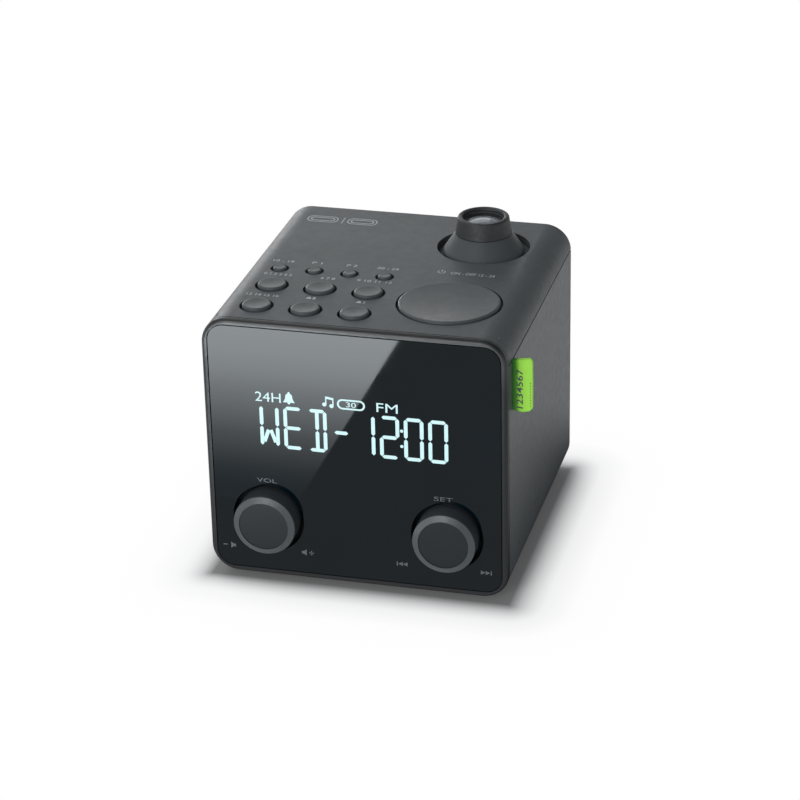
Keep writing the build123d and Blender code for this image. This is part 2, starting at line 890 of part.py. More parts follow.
with BuildPart() as snooze_key:
    add(snooze_cap.part)
    # guide posts under the wide cap
    with BuildSketch(level(z_top + flange_low)):
        with Locations(snooze_place):
            with PolarLocations(snooze_guide_circle, snooze_guide_count):
                Circle(key_post_radius)
    extrude(amount=-snooze_guide_length)
snooze_key.part.label = "snooze_key"
export_step(snooze_key.part, "parts/snooze_key.step")

with BuildPart() as top_board:
    with BuildSketch(level(z_switch_board)):
        with Locations((0, top_board_front)):
            Rectangle(
                2 * (tag_root - slip),
                snooze_row + post_spread_y / 2 + top_board_end_gap - top_board_front,
                align=(Align.CENTER, Align.MIN),
            )
        with Locations(*board_posts):
            Circle(screw_hole_radius, mode=Mode.SUBTRACT)
    extrude(amount=-board_thickness)
top_board.part.label = "top_board"
export_step(top_board.part, "parts/top_board.step")

with BuildPart() as key_switches:
    with BuildSketch(level(z_switch_board)):
        with Locations(*switch_places):
            Rectangle(switch_size, switch_size)
    extrude(amount=switch_height)
    cut_holes(
        level(z_switch_top),
        switch_places,
        key_post_radius + slip,
        -key_post_depth - key_travel - slip,
    )
key_switches.part.label = "key_switches"
export_step(key_switches.part, "parts/key_switches.step")

# ---------------------------------------------------------------- projector

floor_underside = -well_depth - well_floor
turret_underside = turret_shoulder_drop - well_depth
neck_end = floor_underside - neck_length
retainer_top = floor_underside - slip
neck_bore = neck_radius - turret_wall
upstand_bore = upstand_radius - upstand_wall
upstand_top = focus_height - focus_lip_thickness - slip
skirt_top = -turret_shoulder_drop

with BuildPart() as projector_turret:
    with BuildSketch(upright(projector_place)):
        with BuildLine():
            Polyline(
                (neck_bore, neck_end),
                (neck_radius, neck_end),
                (neck_radius, turret_underside),
                (turret_base_radius, turret_underside),
                (turret_base_radius, skirt_top),
                (turret_top_radius, turret_height),
                (upstand_radius, turret_height),
                (upstand_radius, upstand_top),
                (upstand_bore, upstand_top),
                (upstand_bore, turret_height - turret_wall - (neck_bore - upstand_bore)),
                (neck_bore, turret_height - turret_wall - 2 * (neck_bore - upstand_bore)),
                close=True,
            )
        make_face()
    revolve(axis=upright_axis(projector_place))
    outer_edges = closed_edges(projector_turret).group_by(SortBy.RADIUS)[-1]
    fillet(outer_edges.sort_by(Axis.Z)[-1], turret_round)
projector_turret.part.label = "projector_turret"
export_step(projector_turret.part, "parts/projector_turret.step")

with BuildPart() as turret_retainer:
    with BuildSketch(level(z_top + retainer_top)):
        with Locations(projector_place):
            Circle(neck_radius + retainer_width)
            Circle(neck_radius + snug, mode=Mode.SUBTRACT)
    extrude(amount=-retainer_thickness)
turret_retainer.part.label = "turret_retainer"
export_step(turret_retainer.part, "parts/turret_retainer.step")

lip_underside = focus_height - focus_lip_thickness
focus_foot = turret_height + slip

with BuildPart() as focus_ring:
    with BuildSketch(upright(projector_place)):
        with BuildLine():
            Polyline(
                (upstand_radius + running, focus_foot),
                (turret_top_radius, focus_foot),
                (focus_top_radius, focus_height),
                (focus_opening_radius, focus_height),
                (focus_opening_radius, lip_underside),
                (upstand_radius + running, lip_underside),
                close=True,
            )
        make_face()
    revolve(axis=upright_axis(projector_place))
    fillet(focus_ring.edges().group_by(Axis.Z)[-1], focus_round)
focus_ring.part.label = "focus_ring"
export_step(focus_ring.part, "parts/focus_ring.step")

barrel_radius = upstand_bore - running
barrel_top = lip_underside - lens_travel - running
barrel_low = barrel_top - barrel_length
lens_radius = barrel_radius - barrel_wall + lens_seat_step
lens_low = barrel_top - lens_seat_depth
lens_high = lens_low + lens_edge_thickness

with BuildPart() as lens_barrel:
    with BuildSketch(upright(projector_place)):
        with BuildLine():
            Polyline(
                (barrel_radius - barrel_wall, barrel_low),
                (barrel_radius, barrel_low),
                (barrel_radius, barrel_top),
                (lens_radius + snug, barrel_top),
                (lens_radius + snug, lens_low),
                (barrel_radius - barrel_wall, lens_low),
                close=True,
            )
        make_face()
    revolve(axis=upright_axis(projector_place))
lens_barrel.part.label = "lens_barrel"
export_step(lens_barrel.part, "parts/lens_barrel.step")

with BuildPart() as projection_lens:
    with BuildSketch(upright(projector_place)):
        with BuildLine():
            TangentArc((0, lens_high + lens_dome), (lens_radius, lens_high), tangent=(1, 0))
            Polyline(
                (lens_radius, lens_high),
                (lens_radius, lens_low),
                (0, lens_low),
                (0, lens_high + lens_dome),
            )
        make_face()
    revolve(axis=upright_axis(projector_place))
projection_lens.part.label = "projection_lens"
export_step(projection_lens.part, "parts/projection_lens.step")

lamp_board_top = neck_end + board_thickness
lamp_top = lamp_board_top + lamp_height
lamp_shoulder = lamp_board_top + lamp_height / 2
slide_low = lamp_board_top + slide_holder_height

with BuildPart() as projector_board:
    with BuildSketch(level(z_top + neck_end)):
        with Locations(projector_place):
            Circle(neck_bore - snug)
    extrude(amount=board_thickness)
projector_board.part.label = "projector_board"
export_step(projector_board.part, "parts/projector_board.step")

with BuildPart() as projector_lamp:
    with BuildSketch(upright(projector_place)):
        with BuildLine():
            TangentArc((0, lamp_top), (lamp_radius, lamp_shoulder), tangent=(1, 0))
            Polyline(
                (lamp_radius, lamp_shoulder),
                (lamp_radius, lamp_board_top),
                (0, lamp_board_top),
                (0, lamp_top),
            )
        make_face()
    revolve(axis=upright_axis(projector_place))
projector_lamp.part.label = "projector_lamp"
export_step(projector_lamp.part, "parts/projector_lamp.step")

with BuildPart() as slide_holder:
    with BuildSketch(level(z_top + lamp_board_top)):
        with Locations(projector_place):
            Rectangle(slide_width + 2 * slide_holder_wall, slide_depth + 2 * slide_holder_wall)
            Rectangle(slide_width - slide_holder_wall, slide_depth - slide_holder_wall, mode=Mode.SUBTRACT)
    extrude(amount=slide_holder_height)
slide_holder.part.label = "slide_holder"
export_step(slide_holder.part, "parts/slide_holder.step")

with BuildPart() as projector_slide:
    with BuildSketch(level(z_top + slide_low)):
        with Locations(projector_place):
            Rectangle(slide_width, slide_depth)
    extrude(amount=slide_thickness)
projector_slide.part.label = "projector_slide"
export_step(projector_slide.part, "parts/projector_slide.step")

# ---------------------------------------------------------------- speaker

basket_back = speaker_plate_thickness + basket_depth

with BuildPart() as speaker_frame:
    with BuildSketch(speaker_section()):
        with BuildLine():
            Polyline(
                (0, speaker_cone_radius),
                (0, speaker_cone_radius + speaker_seat_width),
                (speaker_plate_thickness, speaker_cone_radius + speaker_seat_width),
                (basket_back, basket_back_radius),
                (basket_back, speaker_cone_throat),
                (basket_back - basket_wall, speaker_cone_throat),
                (basket_back - basket_wall, basket_back_radius - basket_wall),
                (speaker_plate_thickness, speaker_cone_radius),
                close=True,
            )
        make_face()
    revolve(axis=speaker_axis())
    with BuildSketch(beside(speaker_seat)):
        with Locations(speaker_place):
            RectangleRounded(speaker_size, speaker_size, speaker_screw_inset)
            Circle(speaker_cone_radius, mode=Mode.SUBTRACT)
        with Locations(*speaker_screws_at):
            Circle(screw_hole_radius, mode=Mode.SUBTRACT)
    extrude(amount=speaker_plate_thickness)
speaker_frame.part.label = "speaker_frame"
export_step(speaker_frame.part, "parts/speaker_frame.step")

with BuildPart() as speaker_magnet:
    with BuildSketch(beside(speaker_seat + basket_back)):
        with Locations(speaker_place):
            Circle(magnet_radius)
    extrude(amount=magnet_thickness)
speaker_magnet.part.label = "speaker_magnet"
export_step(speaker_magnet.part, "parts/speaker_magnet.step")

cone_rim = speaker_cone_radius - slip
with BuildPart() as speaker_cone:
    with BuildSketch(speaker_section()):
        with BuildLine():
            Polyline(
                (speaker_cone_thickness, cone_rim),
                (speaker_cone_depth, speaker_cone_throat),
                (speaker_cone_depth, 0),
                (speaker_cone_depth + speaker_cone_thickness, 0),
                (speaker_cone_depth + speaker_cone_thickness, speaker_cone_throat),
                (2 * speaker_cone_thickness, cone_rim),
                close=True,
            )
        make_face()
    revolve(axis=speaker_axis())
speaker_cone.part.label = "speaker_cone"
export_step(speaker_cone.part, "parts/speaker_cone.step")

with BuildPart() as grille_cloth:
    with BuildSketch(beside(wall + slip)):
        with Locations(speaker_place):
            Circle(speaker_cone_radius - slip)
    extrude(amount=cloth_thickness)
grille_cloth.part.label = "grille_cloth"
export_step(grille_cloth.part, "parts/grille_cloth.step")

# ---------------------------------------------------------------- main board and its parts

with BuildPart() as main_board:
    with BuildSketch(level(z_main_board)):
        with Locations((0, main_board_middle)):
            Rectangle(main_board_width, main_board_length)
        with Locations(*main_posts):
            Circle(screw_hole_radius, mode=Mode.SUBTRACT)
    extrude(amount=board_thickness)
main_board.part.label = "main_board"
export_step(main_board.part, "parts/main_board.step")

with BuildPart() as inner_screws:
    add_screws(level(z_main_top), main_posts, 1)
    add_screws(level(z_switch_board - board_thickness), board_posts, -1)
    add_screws(across(board_back), front_posts, -1)
    add_screws(beside(speaker_seat + speaker_plate_thickness), speaker_screws_at, 1)
inner_screws.part.label = "inner_screws"
export_step(inner_screws.part, "parts/inner_screws.step")

with BuildPart() as tuner_can:
    with BuildSketch(level(z_main_top)):
        with Locations((0, tuner_row)):
            Rectangle(tuner_width, tuner_length)
    extrude(amount=tuner_height)
    fillet(tuner_can.edges().filter_by(Axis.Z), tuner_corner_radius)
tuner_can.part.label = "tuner_can"
export_step(tuner_can.part, "parts/tuner_can.step")

capacitor_places = [
    ((number - (capacitor_count - 1) / 2) * capacitor_pitch, capacitor_row)
    for number in range(capacitor_count)
]

with BuildPart() as capacitors:
    add_posts(level(z_main_top), capacitor_places, capacitor_radius, capacitor_height)
capacitors.part.label = "capacitors"
export_step(capacitors.part, "parts/capacitors.step")

ribbon_plane = Plane(origin=(x_mid, y_front, z_base), x_dir=(0, 1, 0), z_dir=(1, 0, 0))
key_ribbon_start = snooze_row + post_spread_y / 2
key_ribbon_top = z_switch_board - board_thickness - z_base

with BuildPart() as display_ribbon:
    with BuildSketch(ribbon_plane):
        with BuildLine() as display_ribbon_path:
            FilletPolyline(
                (board_back, display_ribbon_rise),
                (board_back + display_ribbon_run, display_ribbon_rise),
                (board_back + display_ribbon_run, z_main_top - z_base),
                radius=ribbon_bend,
            )
        trace(display_ribbon_path.edges(), ribbon_thickness)
    extrude(amount=ribbon_width / 2, both=True)
display_ribbon.part.label = "display_ribbon"
export_step(display_ribbon.part, "parts/display_ribbon.step")

with BuildPart() as key_ribbon:
    with BuildSketch(ribbon_plane.offset(key_ribbon_side)):
        with BuildLine() as key_ribbon_path:
            FilletPolyline(
                (key_ribbon_start, key_ribbon_top),
                (key_ribbon_start, key_ribbon_top - key_ribbon_step),
                (key_ribbon_start + key_ribbon_step, key_ribbon_top - key_ribbon_step - key_ribbon_slant),
                (key_ribbon_start + key_ribbon_step, z_main_top - z_base),
                radius=ribbon_bend,
            )
        trace(key_ribbon_path.edges(), ribbon_thickness)
    extrude(amount=ribbon_width / 2, both=True)
key_ribbon.part.label = "key_ribbon"
export_step(key_ribbon.part, "parts/key_ribbon.step")

# ---------------------------------------------------------------- sockets in the rear cover

with BuildPart() as dc_jack:
    with BuildSketch(across(rear_inner)):
        with Locations(dc_place):
            Rectangle(dc_socket_width, dc_socket_height)
    extrude(amount=dc_socket_length)
    add_posts(across(rear_face), [dc_place], dc_snout_radius, rear_thickness)
    with BuildSketch(across(rear_face)):
        with Locations(dc_place):
            Circle(dc_bore_radius)
            Circle(dc_pin_radius, mode=Mode.SUBTRACT)
    extrude(amount=dc_bore_depth, mode=Mode.SUBTRACT)
    # legs down to the main board
    with BuildSketch(level(z_main_top)):
        with Locations((dc_place[0], main_board_back - socket_leg_inset)):
            Rectangle(dc_socket_width, socket_leg_thickness, align=(Align.CENTER, Align.MAX))
    extrude(amount=socket_height - dc_socket_height / 2 - z_main_top)
dc_jack.part.label = "dc_jack"
export_step(dc_jack.part, "parts/dc_jack.step")

with BuildPart() as audio_jack:
    with BuildSketch(across(rear_inner)):
        with Locations(audio_place):
            Rectangle(audio_socket_size, audio_socket_size)
    extrude(amount=audio_socket_length)
    add_posts(across(rear_face), [audio_place], audio_snout_radius, rear_thickness)
    cut_holes(across(rear_face), [audio_place], audio_bore_radius, audio_bore_depth)
    with BuildSketch(level(z_main_top)):
        with Locations((audio_place[0], main_board_back - socket_leg_inset)):
            Rectangle(audio_socket_size, socket_leg_thickness, align=(Align.CENTER, Align.MAX))
    extrude(amount=socket_height - audio_socket_size / 2 - z_main_top)
audio_jack.part.label = "audio_jack"
export_step(audio_jack.part, "parts/audio_jack.step")

with BuildPart() as aerial_grommet:
    with BuildSketch(across(rear_face)):
        with Locations(grommet_place):
            Circle(grommet_radius + grommet_flange)
    extrude(amount=-grommet_flange_thickness)
    add_posts(across(rear_inner), [grommet_place], grommet_radius, -rear_thickness)
    add_posts(
        across(rear_inner), [grommet_place], grommet_radius + grommet_flange, grommet_flange_thickness
    )
    cut_holes(
        across(rear_face + grommet_flange_thickness),
        [grommet_place],
        grommet_bore_radius,
        rear_thickness + 2 * grommet_flange_thickness,
    )
aerial_grommet.part.label = "aerial_grommet"
export_step(aerial_grommet.part, "parts/aerial_grommet.step")

# ---------------------------------------------------------------- clock battery

with BuildPart() as battery_door:
    with BuildSketch(level(z_base)):
        with Locations((bay_side, door_middle)):
            Rectangle(
                bay_size + 2 * (door_ledge - slip), bay_size + 2 * (door_ledge - slip) + door_tab
            )
    extrude(amount=door_thickness)
    cut_holes(level(z_base), [door_screw_place], screw_hole_radius, door_thickness)
    cut_holes(level(z_base), [door_screw_place], screw_head_radius + slip, screw_head_height)
battery_door.part.label = "battery_door"
export_step(battery_door.part, "parts/battery_door.step")

cell_low = bay_floor + snug
with BuildPart() as coin_holder:
    with BuildSketch(level(cell_low)):
        with Locations((bay_side, bay_row)):
            Rectangle(bay_size - 2 * snug, bay_size - 2 * snug)
    extrude(amount=bay_top - cell_low)
    cut_holes(
        level(cell_low), [(bay_side, bay_row)], cell_radius + slip, bay_top - cell_low - contact_thickness
    )
coin_holder.part.label = "coin_holder"
export_step(coin_holder.part, "parts/coin_holder.step")

with BuildPart() as coin_cell:
    with BuildSketch(level(cell_low)):
        with Locations((bay_side, bay_row)):
            Circle(cell_radius)
    extrude(amount=cell_thickness)
coin_cell.part.label = "coin_cell"
export_step(coin_cell.part, "parts/coin_cell.step")

# ---------------------------------------------------------------- ribbon tag

with BuildPart() as side_tag:
    with BuildSketch(level(tag_low)):
        with BuildLine():
            Polyline(
                (half_width + tag_reach - tag_thickness / 2, tag_back + tag_thickness / 2),
                (tag_root, tag_back + tag_thickness / 2),
                (tag_root, tag_back - tag_thickness / 2),
                (half_width + tag_reach - tag_thickness / 2, tag_back - tag_thickness / 2),
            )
            ThreePointArc(
                (half_width + tag_reach - tag_thickness / 2, tag_back - tag_thickness / 2),
                (half_width + tag_reach, tag_back),
                (half_width + tag_reach - tag_thickness / 2, tag_back + tag_thickness / 2),
            )
        make_face()
    extrude(amount=tag_width)
side_tag.part.label = "side_tag"
export_step(side_tag.part, "parts/side_tag.step")
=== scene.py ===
import math

import bmesh
import bpy
from mathutils import Matrix, Vector


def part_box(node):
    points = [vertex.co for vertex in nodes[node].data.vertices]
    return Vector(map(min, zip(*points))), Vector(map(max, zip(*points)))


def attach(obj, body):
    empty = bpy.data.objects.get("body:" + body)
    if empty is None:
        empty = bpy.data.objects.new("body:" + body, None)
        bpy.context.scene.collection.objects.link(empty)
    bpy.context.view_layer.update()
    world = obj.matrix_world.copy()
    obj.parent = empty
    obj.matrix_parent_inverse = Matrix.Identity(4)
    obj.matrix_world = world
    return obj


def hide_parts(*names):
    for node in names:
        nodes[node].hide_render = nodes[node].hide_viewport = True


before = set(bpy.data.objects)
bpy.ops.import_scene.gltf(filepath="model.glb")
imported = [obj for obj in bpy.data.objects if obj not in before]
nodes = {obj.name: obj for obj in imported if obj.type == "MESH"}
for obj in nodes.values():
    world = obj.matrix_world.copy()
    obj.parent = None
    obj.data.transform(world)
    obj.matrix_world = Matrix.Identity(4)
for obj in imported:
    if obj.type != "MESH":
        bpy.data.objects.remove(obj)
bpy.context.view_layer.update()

# ---------------------------------------------------------------- sizes taken from the frame

# every length below is in millimetres until it is multiplied by MM
MM = 0.001
ALONG_X = (1, 0, 0)
ALONG_Y = (0, 1, 0)
ALONG_Z = (0, 0, 1)


def box_in_mm(name):
    """Lowest and highest corner of a CAD node, to a hundredth of a millimetre."""
    return [[round(length / MM, 2) for length in corner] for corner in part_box(name)]


def centre_of(name):
    """Middle of a CAD node's box in metres."""
    low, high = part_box(name)
    return (low + high) / 2


shell_low, shell_high = box_in_mm("lower_shell")
X_MID = (shell_low[0] + shell_high[0]) / 2
HALF_WIDTH = (shell_high[0] - shell_low[0]) / 2
Y_FRONT = box_in_mm("front_bezel")[0][1]
CASE_DEPTH = shell_high[1] - Y_FRONT
Z_TOP = box_in_mm("top_cover")[1][2]


def at(x, y, z):
    """A place in metres, given right of the case's middle, behind its front and above the table."""
    return Vector(((X_MID + x) * MM, (Y_FRONT + y) * MM, z * MM))


def new_object(name, data):
    """A new object that is linked to the scene."""
    made = bpy.data.objects.new(name, data)
    bpy.context.scene.collection.objects.link(made)
    return made


# ---------------------------------------------------------------- camera

YAW = math.radians(15.046)
PITCH = math.radians(25.387)
ROLL = math.radians(-1.267)
CAMERA_PLACE = Vector((251.53, -938.01, 514.66)) * MM
LENS_MM = 126.0
SENSOR_MM = 36.0
CLIP_START = 10.0
CLIP_END = 50000.0


def add_camera():
    """The camera at the viewing angle, looking along its yaw, pitch and roll."""
    look = Vector(
        (
            -math.sin(YAW) * math.cos(PITCH),
            math.cos(YAW) * math.cos(PITCH),
            -math.sin(PITCH),
        )
    )
    level_right = look.cross(Vector(ALONG_Z)).normalized()
    level_up = level_right.cross(look)
    right = level_right * math.cos(ROLL) + level_up * math.sin(ROLL)
    up = level_up * math.cos(ROLL) - level_right * math.sin(ROLL)
    turn = Matrix((right, up, -look)).transposed().to_4x4()
    data = bpy.data.cameras.new("camera")
    data.lens = LENS_MM
    data.sensor_width = SENSOR_MM
    data.clip_start = CLIP_START * MM
    data.clip_end = CLIP_END * MM
    camera = new_object("camera", data)
    camera.matrix_world = Matrix.Translation(CAMERA_PLACE) @ turn
    bpy.context.scene.camera = camera


add_camera()

# ---------------------------------------------------------------- shaders

# the stretch that most of a noise's values lie in
SPREAD = (0.3, 0.7)


def grey(level):
    """A grey of that linear level, with alpha."""
    return (level, level, level, 1.0)


def linear(colour, share=1.0):
    """An sRGB colour of 0 to 255 as linear values times `share`, with alpha."""
    levels = [c / 255 / 12.92 if c <= 10 else ((c / 255 + 0.055) / 1.055) ** 2.4 for c in colour]
    return (*(level * share for level in levels), 1.0)


class Shader:
    """Builds the nodes of a material or of the world with short calls."""

    def __init__(self, owner, output="ShaderNodeOutputMaterial", coordinate="Object"):
        owner.use_nodes = True
        self.owner = owner
        self.tree = owner.node_tree
        self.tree.nodes.clear()
        self.output = self.tree.nodes.new(output).inputs["Surface"]
        self.place = self.tree.nodes.new("ShaderNodeTexCoord").outputs[coordinate]

    def put(self, value, socket):
        """Links a node's output to the socket, or sets a plain value there."""
        if isinstance(value, bpy.types.NodeSocket):
            self.tree.links.new(value, socket)
        else:
            socket.default_value = value

    def add(self, kind, **values):
        """A node with its inputs and settings given by name, with _ for a space."""
        node = self.tree.nodes.new(kind)
        for key, value in values.items():
            name = key.replace("_", " ")
            if name in node.inputs:
                self.put(value, node.inputs[name])
            else:
                setattr(node, key, value)
        return node

    def noise(self, size, detail=3.0):
        """Noise whose features are about `size` millimetres across."""
        node = self.add(
            "ShaderNodeTexNoise", Vector=self.place, Scale=1.0 / (size * MM), Detail=detail, Roughness=0.55
        )
        return node.outputs["Fac"]

    def ramp(self, value, low, high, at_low=0.0, at_high=1.0):
        """The range from low to high mapped to the wanted range, and held beyond it."""
        node = self.add(
            "ShaderNodeMapRange", Value=value, From_Min=low, From_Max=high, To_Min=at_low, To_Max=at_high
        )
        return node.outputs["Result"]

    def uneven(self, size, lowest, highest, detail=3.0, spread=SPREAD):
        """A number that wanders between two values in patches of about `size` millimetres."""
        return self.ramp(self.noise(size, detail), *spread, lowest, highest)

    def mix(self, factor, first, second):
        """A colour between the first and the second."""
        node = self.add("ShaderNodeMix", data_type="RGBA")
        for index, value in ((0, factor), (6, first), (7, second)):
            self.put(value, node.inputs[index])
        return node.outputs[2]

    def clouds(self, size, first, second, detail=3.0, spread=SPREAD):
        """Two colours mixed in clouds of about `size` millimetres."""
        return self.mix(self.ramp(self.noise(size, detail), *spread), first, second)

    def maths(self, operation, first, second=0.0):
        """One operation on numbers."""
        node = self.add("ShaderNodeMath", operation=operation)
        for socket, value in zip(node.inputs, (first, second)):
            self.put(value, socket)
        return node.outputs[0]

    def vector(self, operation, first, second=(0, 0, 0)):
        """One operation on vectors."""
        node = self.add("ShaderNodeVectorMath", operation=operation)
        for socket, value in zip(node.inputs, (first, second)):
            self.put(value, socket)
        return node.outputs[1] if operation in ("LENGTH", "DOT_PRODUCT") else node.outputs[0]

    def from_axis(self, centre):
        """Distance from a front-to-back axis through `centre`."""
        away = self.vector("SUBTRACT", self.place, centre)
        return self.vector("LENGTH", self.vector("MULTIPLY", away, (1, 0, 1)))

    def along(self, axis):
        """The x, y or z of the place."""
        return self.add("ShaderNodeSeparateXYZ", Vector=self.place).outputs[axis]

    def waves(self, distance, pitch):
        """Sine waves over a distance, `pitch` millimetres from crest to crest."""
        return self.maths("SINE", self.maths("MULTIPLY", distance, 2 * math.pi / (pitch * MM)))

    def bump(self, height, strength, distance):
        """Bump whose height of 1 is `distance` millimetres."""
        node = self.add("ShaderNodeBump", Height=height, Strength=strength, Distance=distance * MM)
        return node.outputs["Normal"]

    def levels(self, value, reach, stops):
        """A value from 0 to `reach` millimetres put through a list of (millimetres, level) stops."""
        node = self.add("ShaderNodeValToRGB", Fac=self.ramp(value, 0.0, reach * MM))
        elements = node.color_ramp.elements
        while len(elements) < len(stops):
            elements.new(0.5)
        for element, (spot, level) in zip(elements, stops):
            element.position = spot / reach
            element.color = grey(level)
        return node.outputs[0]

    def any_ray(self, *kinds):
        """1 on rays of these kinds and 0 on others."""
        rays = self.add("ShaderNodeLightPath").outputs
        found = rays[kinds[0]]
        for kind in kinds[1:]:
            found = self.maths("MAXIMUM", found, rays[kind])
        return found

    def blend(self, share, first, second):
        """Two shader nodes mixed by the second one's share."""
        node = self.add("ShaderNodeMixShader")
        for socket, value in zip(node.inputs, (share, first.outputs[0], second.outputs[0])):
            self.put(value, socket)
        return node

    def show(self, node):
        """Ends in this shader node and gives the material or world."""
        self.tree.links.new(node.outputs[0], self.output)
        return self.owner

    def surface(self, **values):
        """Ends in the Principled shader with these inputs."""
        return self.show(self.add("ShaderNodeBsdfPrincipled", **values))


def new_shader(name):
    """The shader of a new material."""
    return Shader(bpy.data.materials.new(name))


# ---------------------------------------------------------------- materials

CUP_REACH = 15.25  # from a knob's axis to where the bezel's darker cup ends
CUP_SHEEN = 0.16  # share of the rim's sheen that is left in the cups
SHEEN_START = 86.0  # heights between which the bezel's rim turns glossier
SHEEN_END = 98.0
SHEEN_LEVELS = (0.26, 0.5)
RING_PITCH = 0.28  # of the turned rings on a knob's face
STREAK = 0.2  # width of the streaks in metal
TRACK_SIZE = 4.0  # of the tracks on a circuit board


def moulded(name, colour, roughness, grain=0.35, depth=0.012, specular=0.5):
    """Moulded or satin-painted plastic: fine grain, faint colour variation, uneven gloss."""
    shader = new_shader(name)
    return shader.surface(
        Base_Color=shader.clouds(22.0, linear(colour, 0.92), linear(colour, 1.08), detail=4.0),
        Roughness=shader.uneven(3.0, roughness - 0.04, roughness + 0.04),
        Normal=shader.bump(shader.noise(grain, 2.0), 0.6, depth),
        Specular_IOR_Level=specular,
    )


def metal(name, colour, roughness):
    """Plated or brushed metal with fine streaks."""
    shader = new_shader(name)
    return shader.surface(
        Base_Color=shader.clouds(4.0, linear(colour, 0.85), linear(colour)),
        Metallic=1.0,
        Roughness=shader.uneven(STREAK, roughness - 0.08, roughness + 0.08, detail=2.0),
        Normal=shader.bump(shader.noise(STREAK), 0.4, 0.004),
    )


def rubber(name, colour, roughness=0.7):
    """Soft matt rubber with fine paler patches."""
    shader = new_shader(name)
    return shader.surface(
        Base_Color=shader.clouds(1.5, linear(colour), linear(colour, 1.35), detail=4.0, spread=(0.35, 0.7)),
        Roughness=shader.uneven(2.0, roughness - 0.05, roughness + 0.08),
        Normal=shader.bump(shader.noise(0.3), 0.7, 0.02),
    )


def gloss_panel(name, colour):
    """Smoked gloss panel with faint wipe marks in its gloss."""
    shader = new_shader(name)
    return shader.surface(
        Base_Color=shader.clouds(30.0, linear(colour), linear(colour, 1.3)),
        Roughness=shader.uneven(14.0, 0.02, 0.05, detail=5.0, spread=(0.35, 0.75)),
        Specular_IOR_Level=0.18,
    )


def spun(name, colour, roughness, centre):
    """Disc with fine rings turned round its centre, on an axis that runs front to back."""
    shader = new_shader(name)
    return shader.surface(
        Base_Color=shader.clouds(5.0, linear(colour), linear(colour, 1.15)),
        Roughness=shader.uneven(1.0, roughness - 0.05, roughness + 0.05),
        Normal=shader.bump(shader.waves(shader.from_axis(centre), RING_PITCH), 0.35, 0.006),
        Specular_IOR_Level=0.22,
    )


def rim_and_cups(name, colour, cup_colour, centres):
    """Satin rim that is glossier along its top, and the darker cups behind the knobs."""
    shader = new_shader(name)
    near = shader.maths("MINIMUM", *(shader.from_axis(centre) for centre in centres))
    inside = shader.maths("LESS_THAN", near, CUP_REACH * MM)
    rim = shader.clouds(12.0, linear(colour), linear(colour, 1.12), detail=4.0)
    sheen = shader.ramp(shader.along("Z"), SHEEN_START * MM, SHEEN_END * MM, *SHEEN_LEVELS)
    kept = shader.ramp(inside, 0.0, 1.0, 1.0, CUP_SHEEN)
    return shader.surface(
        Base_Color=shader.mix(inside, rim, linear(cup_colour)),
        Roughness=shader.uneven(3.0, 0.38, 0.46),
        Specular_IOR_Level=shader.maths("MULTIPLY", sheen, kept),
        Normal=shader.bump(shader.noise(0.35, 2.0), 0.5, 0.01),
    )


def woven(name, colour, thread, across=ALONG_X, root_shade=None):
    """Ribbon or cloth of fine threads; a ribbon may have painted shade where it leaves its slot, given as a
    colour and the two x in metres between which it fades.
    """
    shader = new_shader(name)
    threads = [
        shader.waves(shader.vector("DOT_PRODUCT", shader.place, direction), thread)
        for direction in (across, ALONG_Z)
    ]
    weave = shader.maths("MULTIPLY", *threads)
    dark = linear(colour, 0.8)
    shade = shader.mix(shader.ramp(weave, -1.0, 1.0), dark, linear(colour))
    shade = shader.mix(shader.uneven(2.5, 0.0, 0.2), shade, dark)
    # painted shade on the ribbon where it leaves its slot, fading out away from the case
    if root_shade:
        root_shade_colour, start, end = root_shade
        shade = shader.mix(shader.ramp(shader.along("X"), start, end, 1.0, 0.0), shade, linear(root_shade_colour))
    return shader.surface(
        Base_Color=shade,
        Roughness=0.62,
        Sheen_Weight=0.15,
        Sheen_Roughness=0.4,
        Normal=shader.bump(weave, 0.4, 0.04),
    )


def printed(name, colour):
    """Screen-printed marks, slightly worn."""
    shader = new_shader(name)
    return shader.surface(
        Base_Color=shader.clouds(0.6, linear(colour, 0.75), linear(colour), detail=4.0, spread=(0.35, 0.65)),
        Roughness=shader.uneven(0.8, 0.45, 0.6),
    )


def lit(name, colour, strength):
    """Lit segments of a display, faintly uneven."""
    shader = new_shader(name)
    return shader.surface(
        Base_Color=(0.02, 0.025, 0.025, 1.0),
        Roughness=0.5,
        Emission_Color=shader.clouds(3.0, linear(colour, 0.9), linear(colour), spread=(0.35, 0.65)),
        Emission_Strength=strength,
    )


def board(name, colour):
    """Circuit board under solder mask, with tracks that show as faint relief."""
    shader = new_shader(name)
    cells = shader.add(
        "ShaderNodeTexVoronoi", Vector=shader.place, Scale=1.0 / (TRACK_SIZE * MM), distance="MANHATTAN"
    )
    tracks = cells.outputs["Distance"]
    return shader.surface(
        Base_Color=shader.mix(shader.ramp(tracks, 0.3, 0.5), linear(colour), linear(colour, 1.6)),
        Roughness=0.35,
        Normal=shader.bump(tracks, 0.4, 0.04),
    )


def lens_glass(name, colour, painted_reflection):
    """Coated lens glass with a trace of dust, clear for only part of the light: the rest shows its pale
    colour as a painted reflection.
    """
    shader = new_shader(name)
    return shader.surface(
        Base_Color=shader.mix(shader.uneven(4.0, 0.0, 0.12), linear(colour), grey(1.0)),
        Roughness=shader.uneven(1.0, 0.02, 0.1, detail=4.0, spread=(0.4, 0.75)),
        # the pale colour over the rest of the lens is a painted reflection
        Transmission_Weight=1.0 - painted_reflection,
        IOR=1.5,
        Specular_IOR_Level=0.3,
        Coat_Weight=0.3,
        Coat_Roughness=0.12,
    )


volume_centre = centre_of("volume_knob")
select_centre = centre_of("select_knob")
# colour of the painted shade where the ribbon leaves its slot, and the two x between which it fades out
ribbon_root_shade = ((58, 148, 24), at(HALF_WIDTH + 0.9, 0, 0).x, at(HALF_WIDTH + 2.3, 0, 0).x)

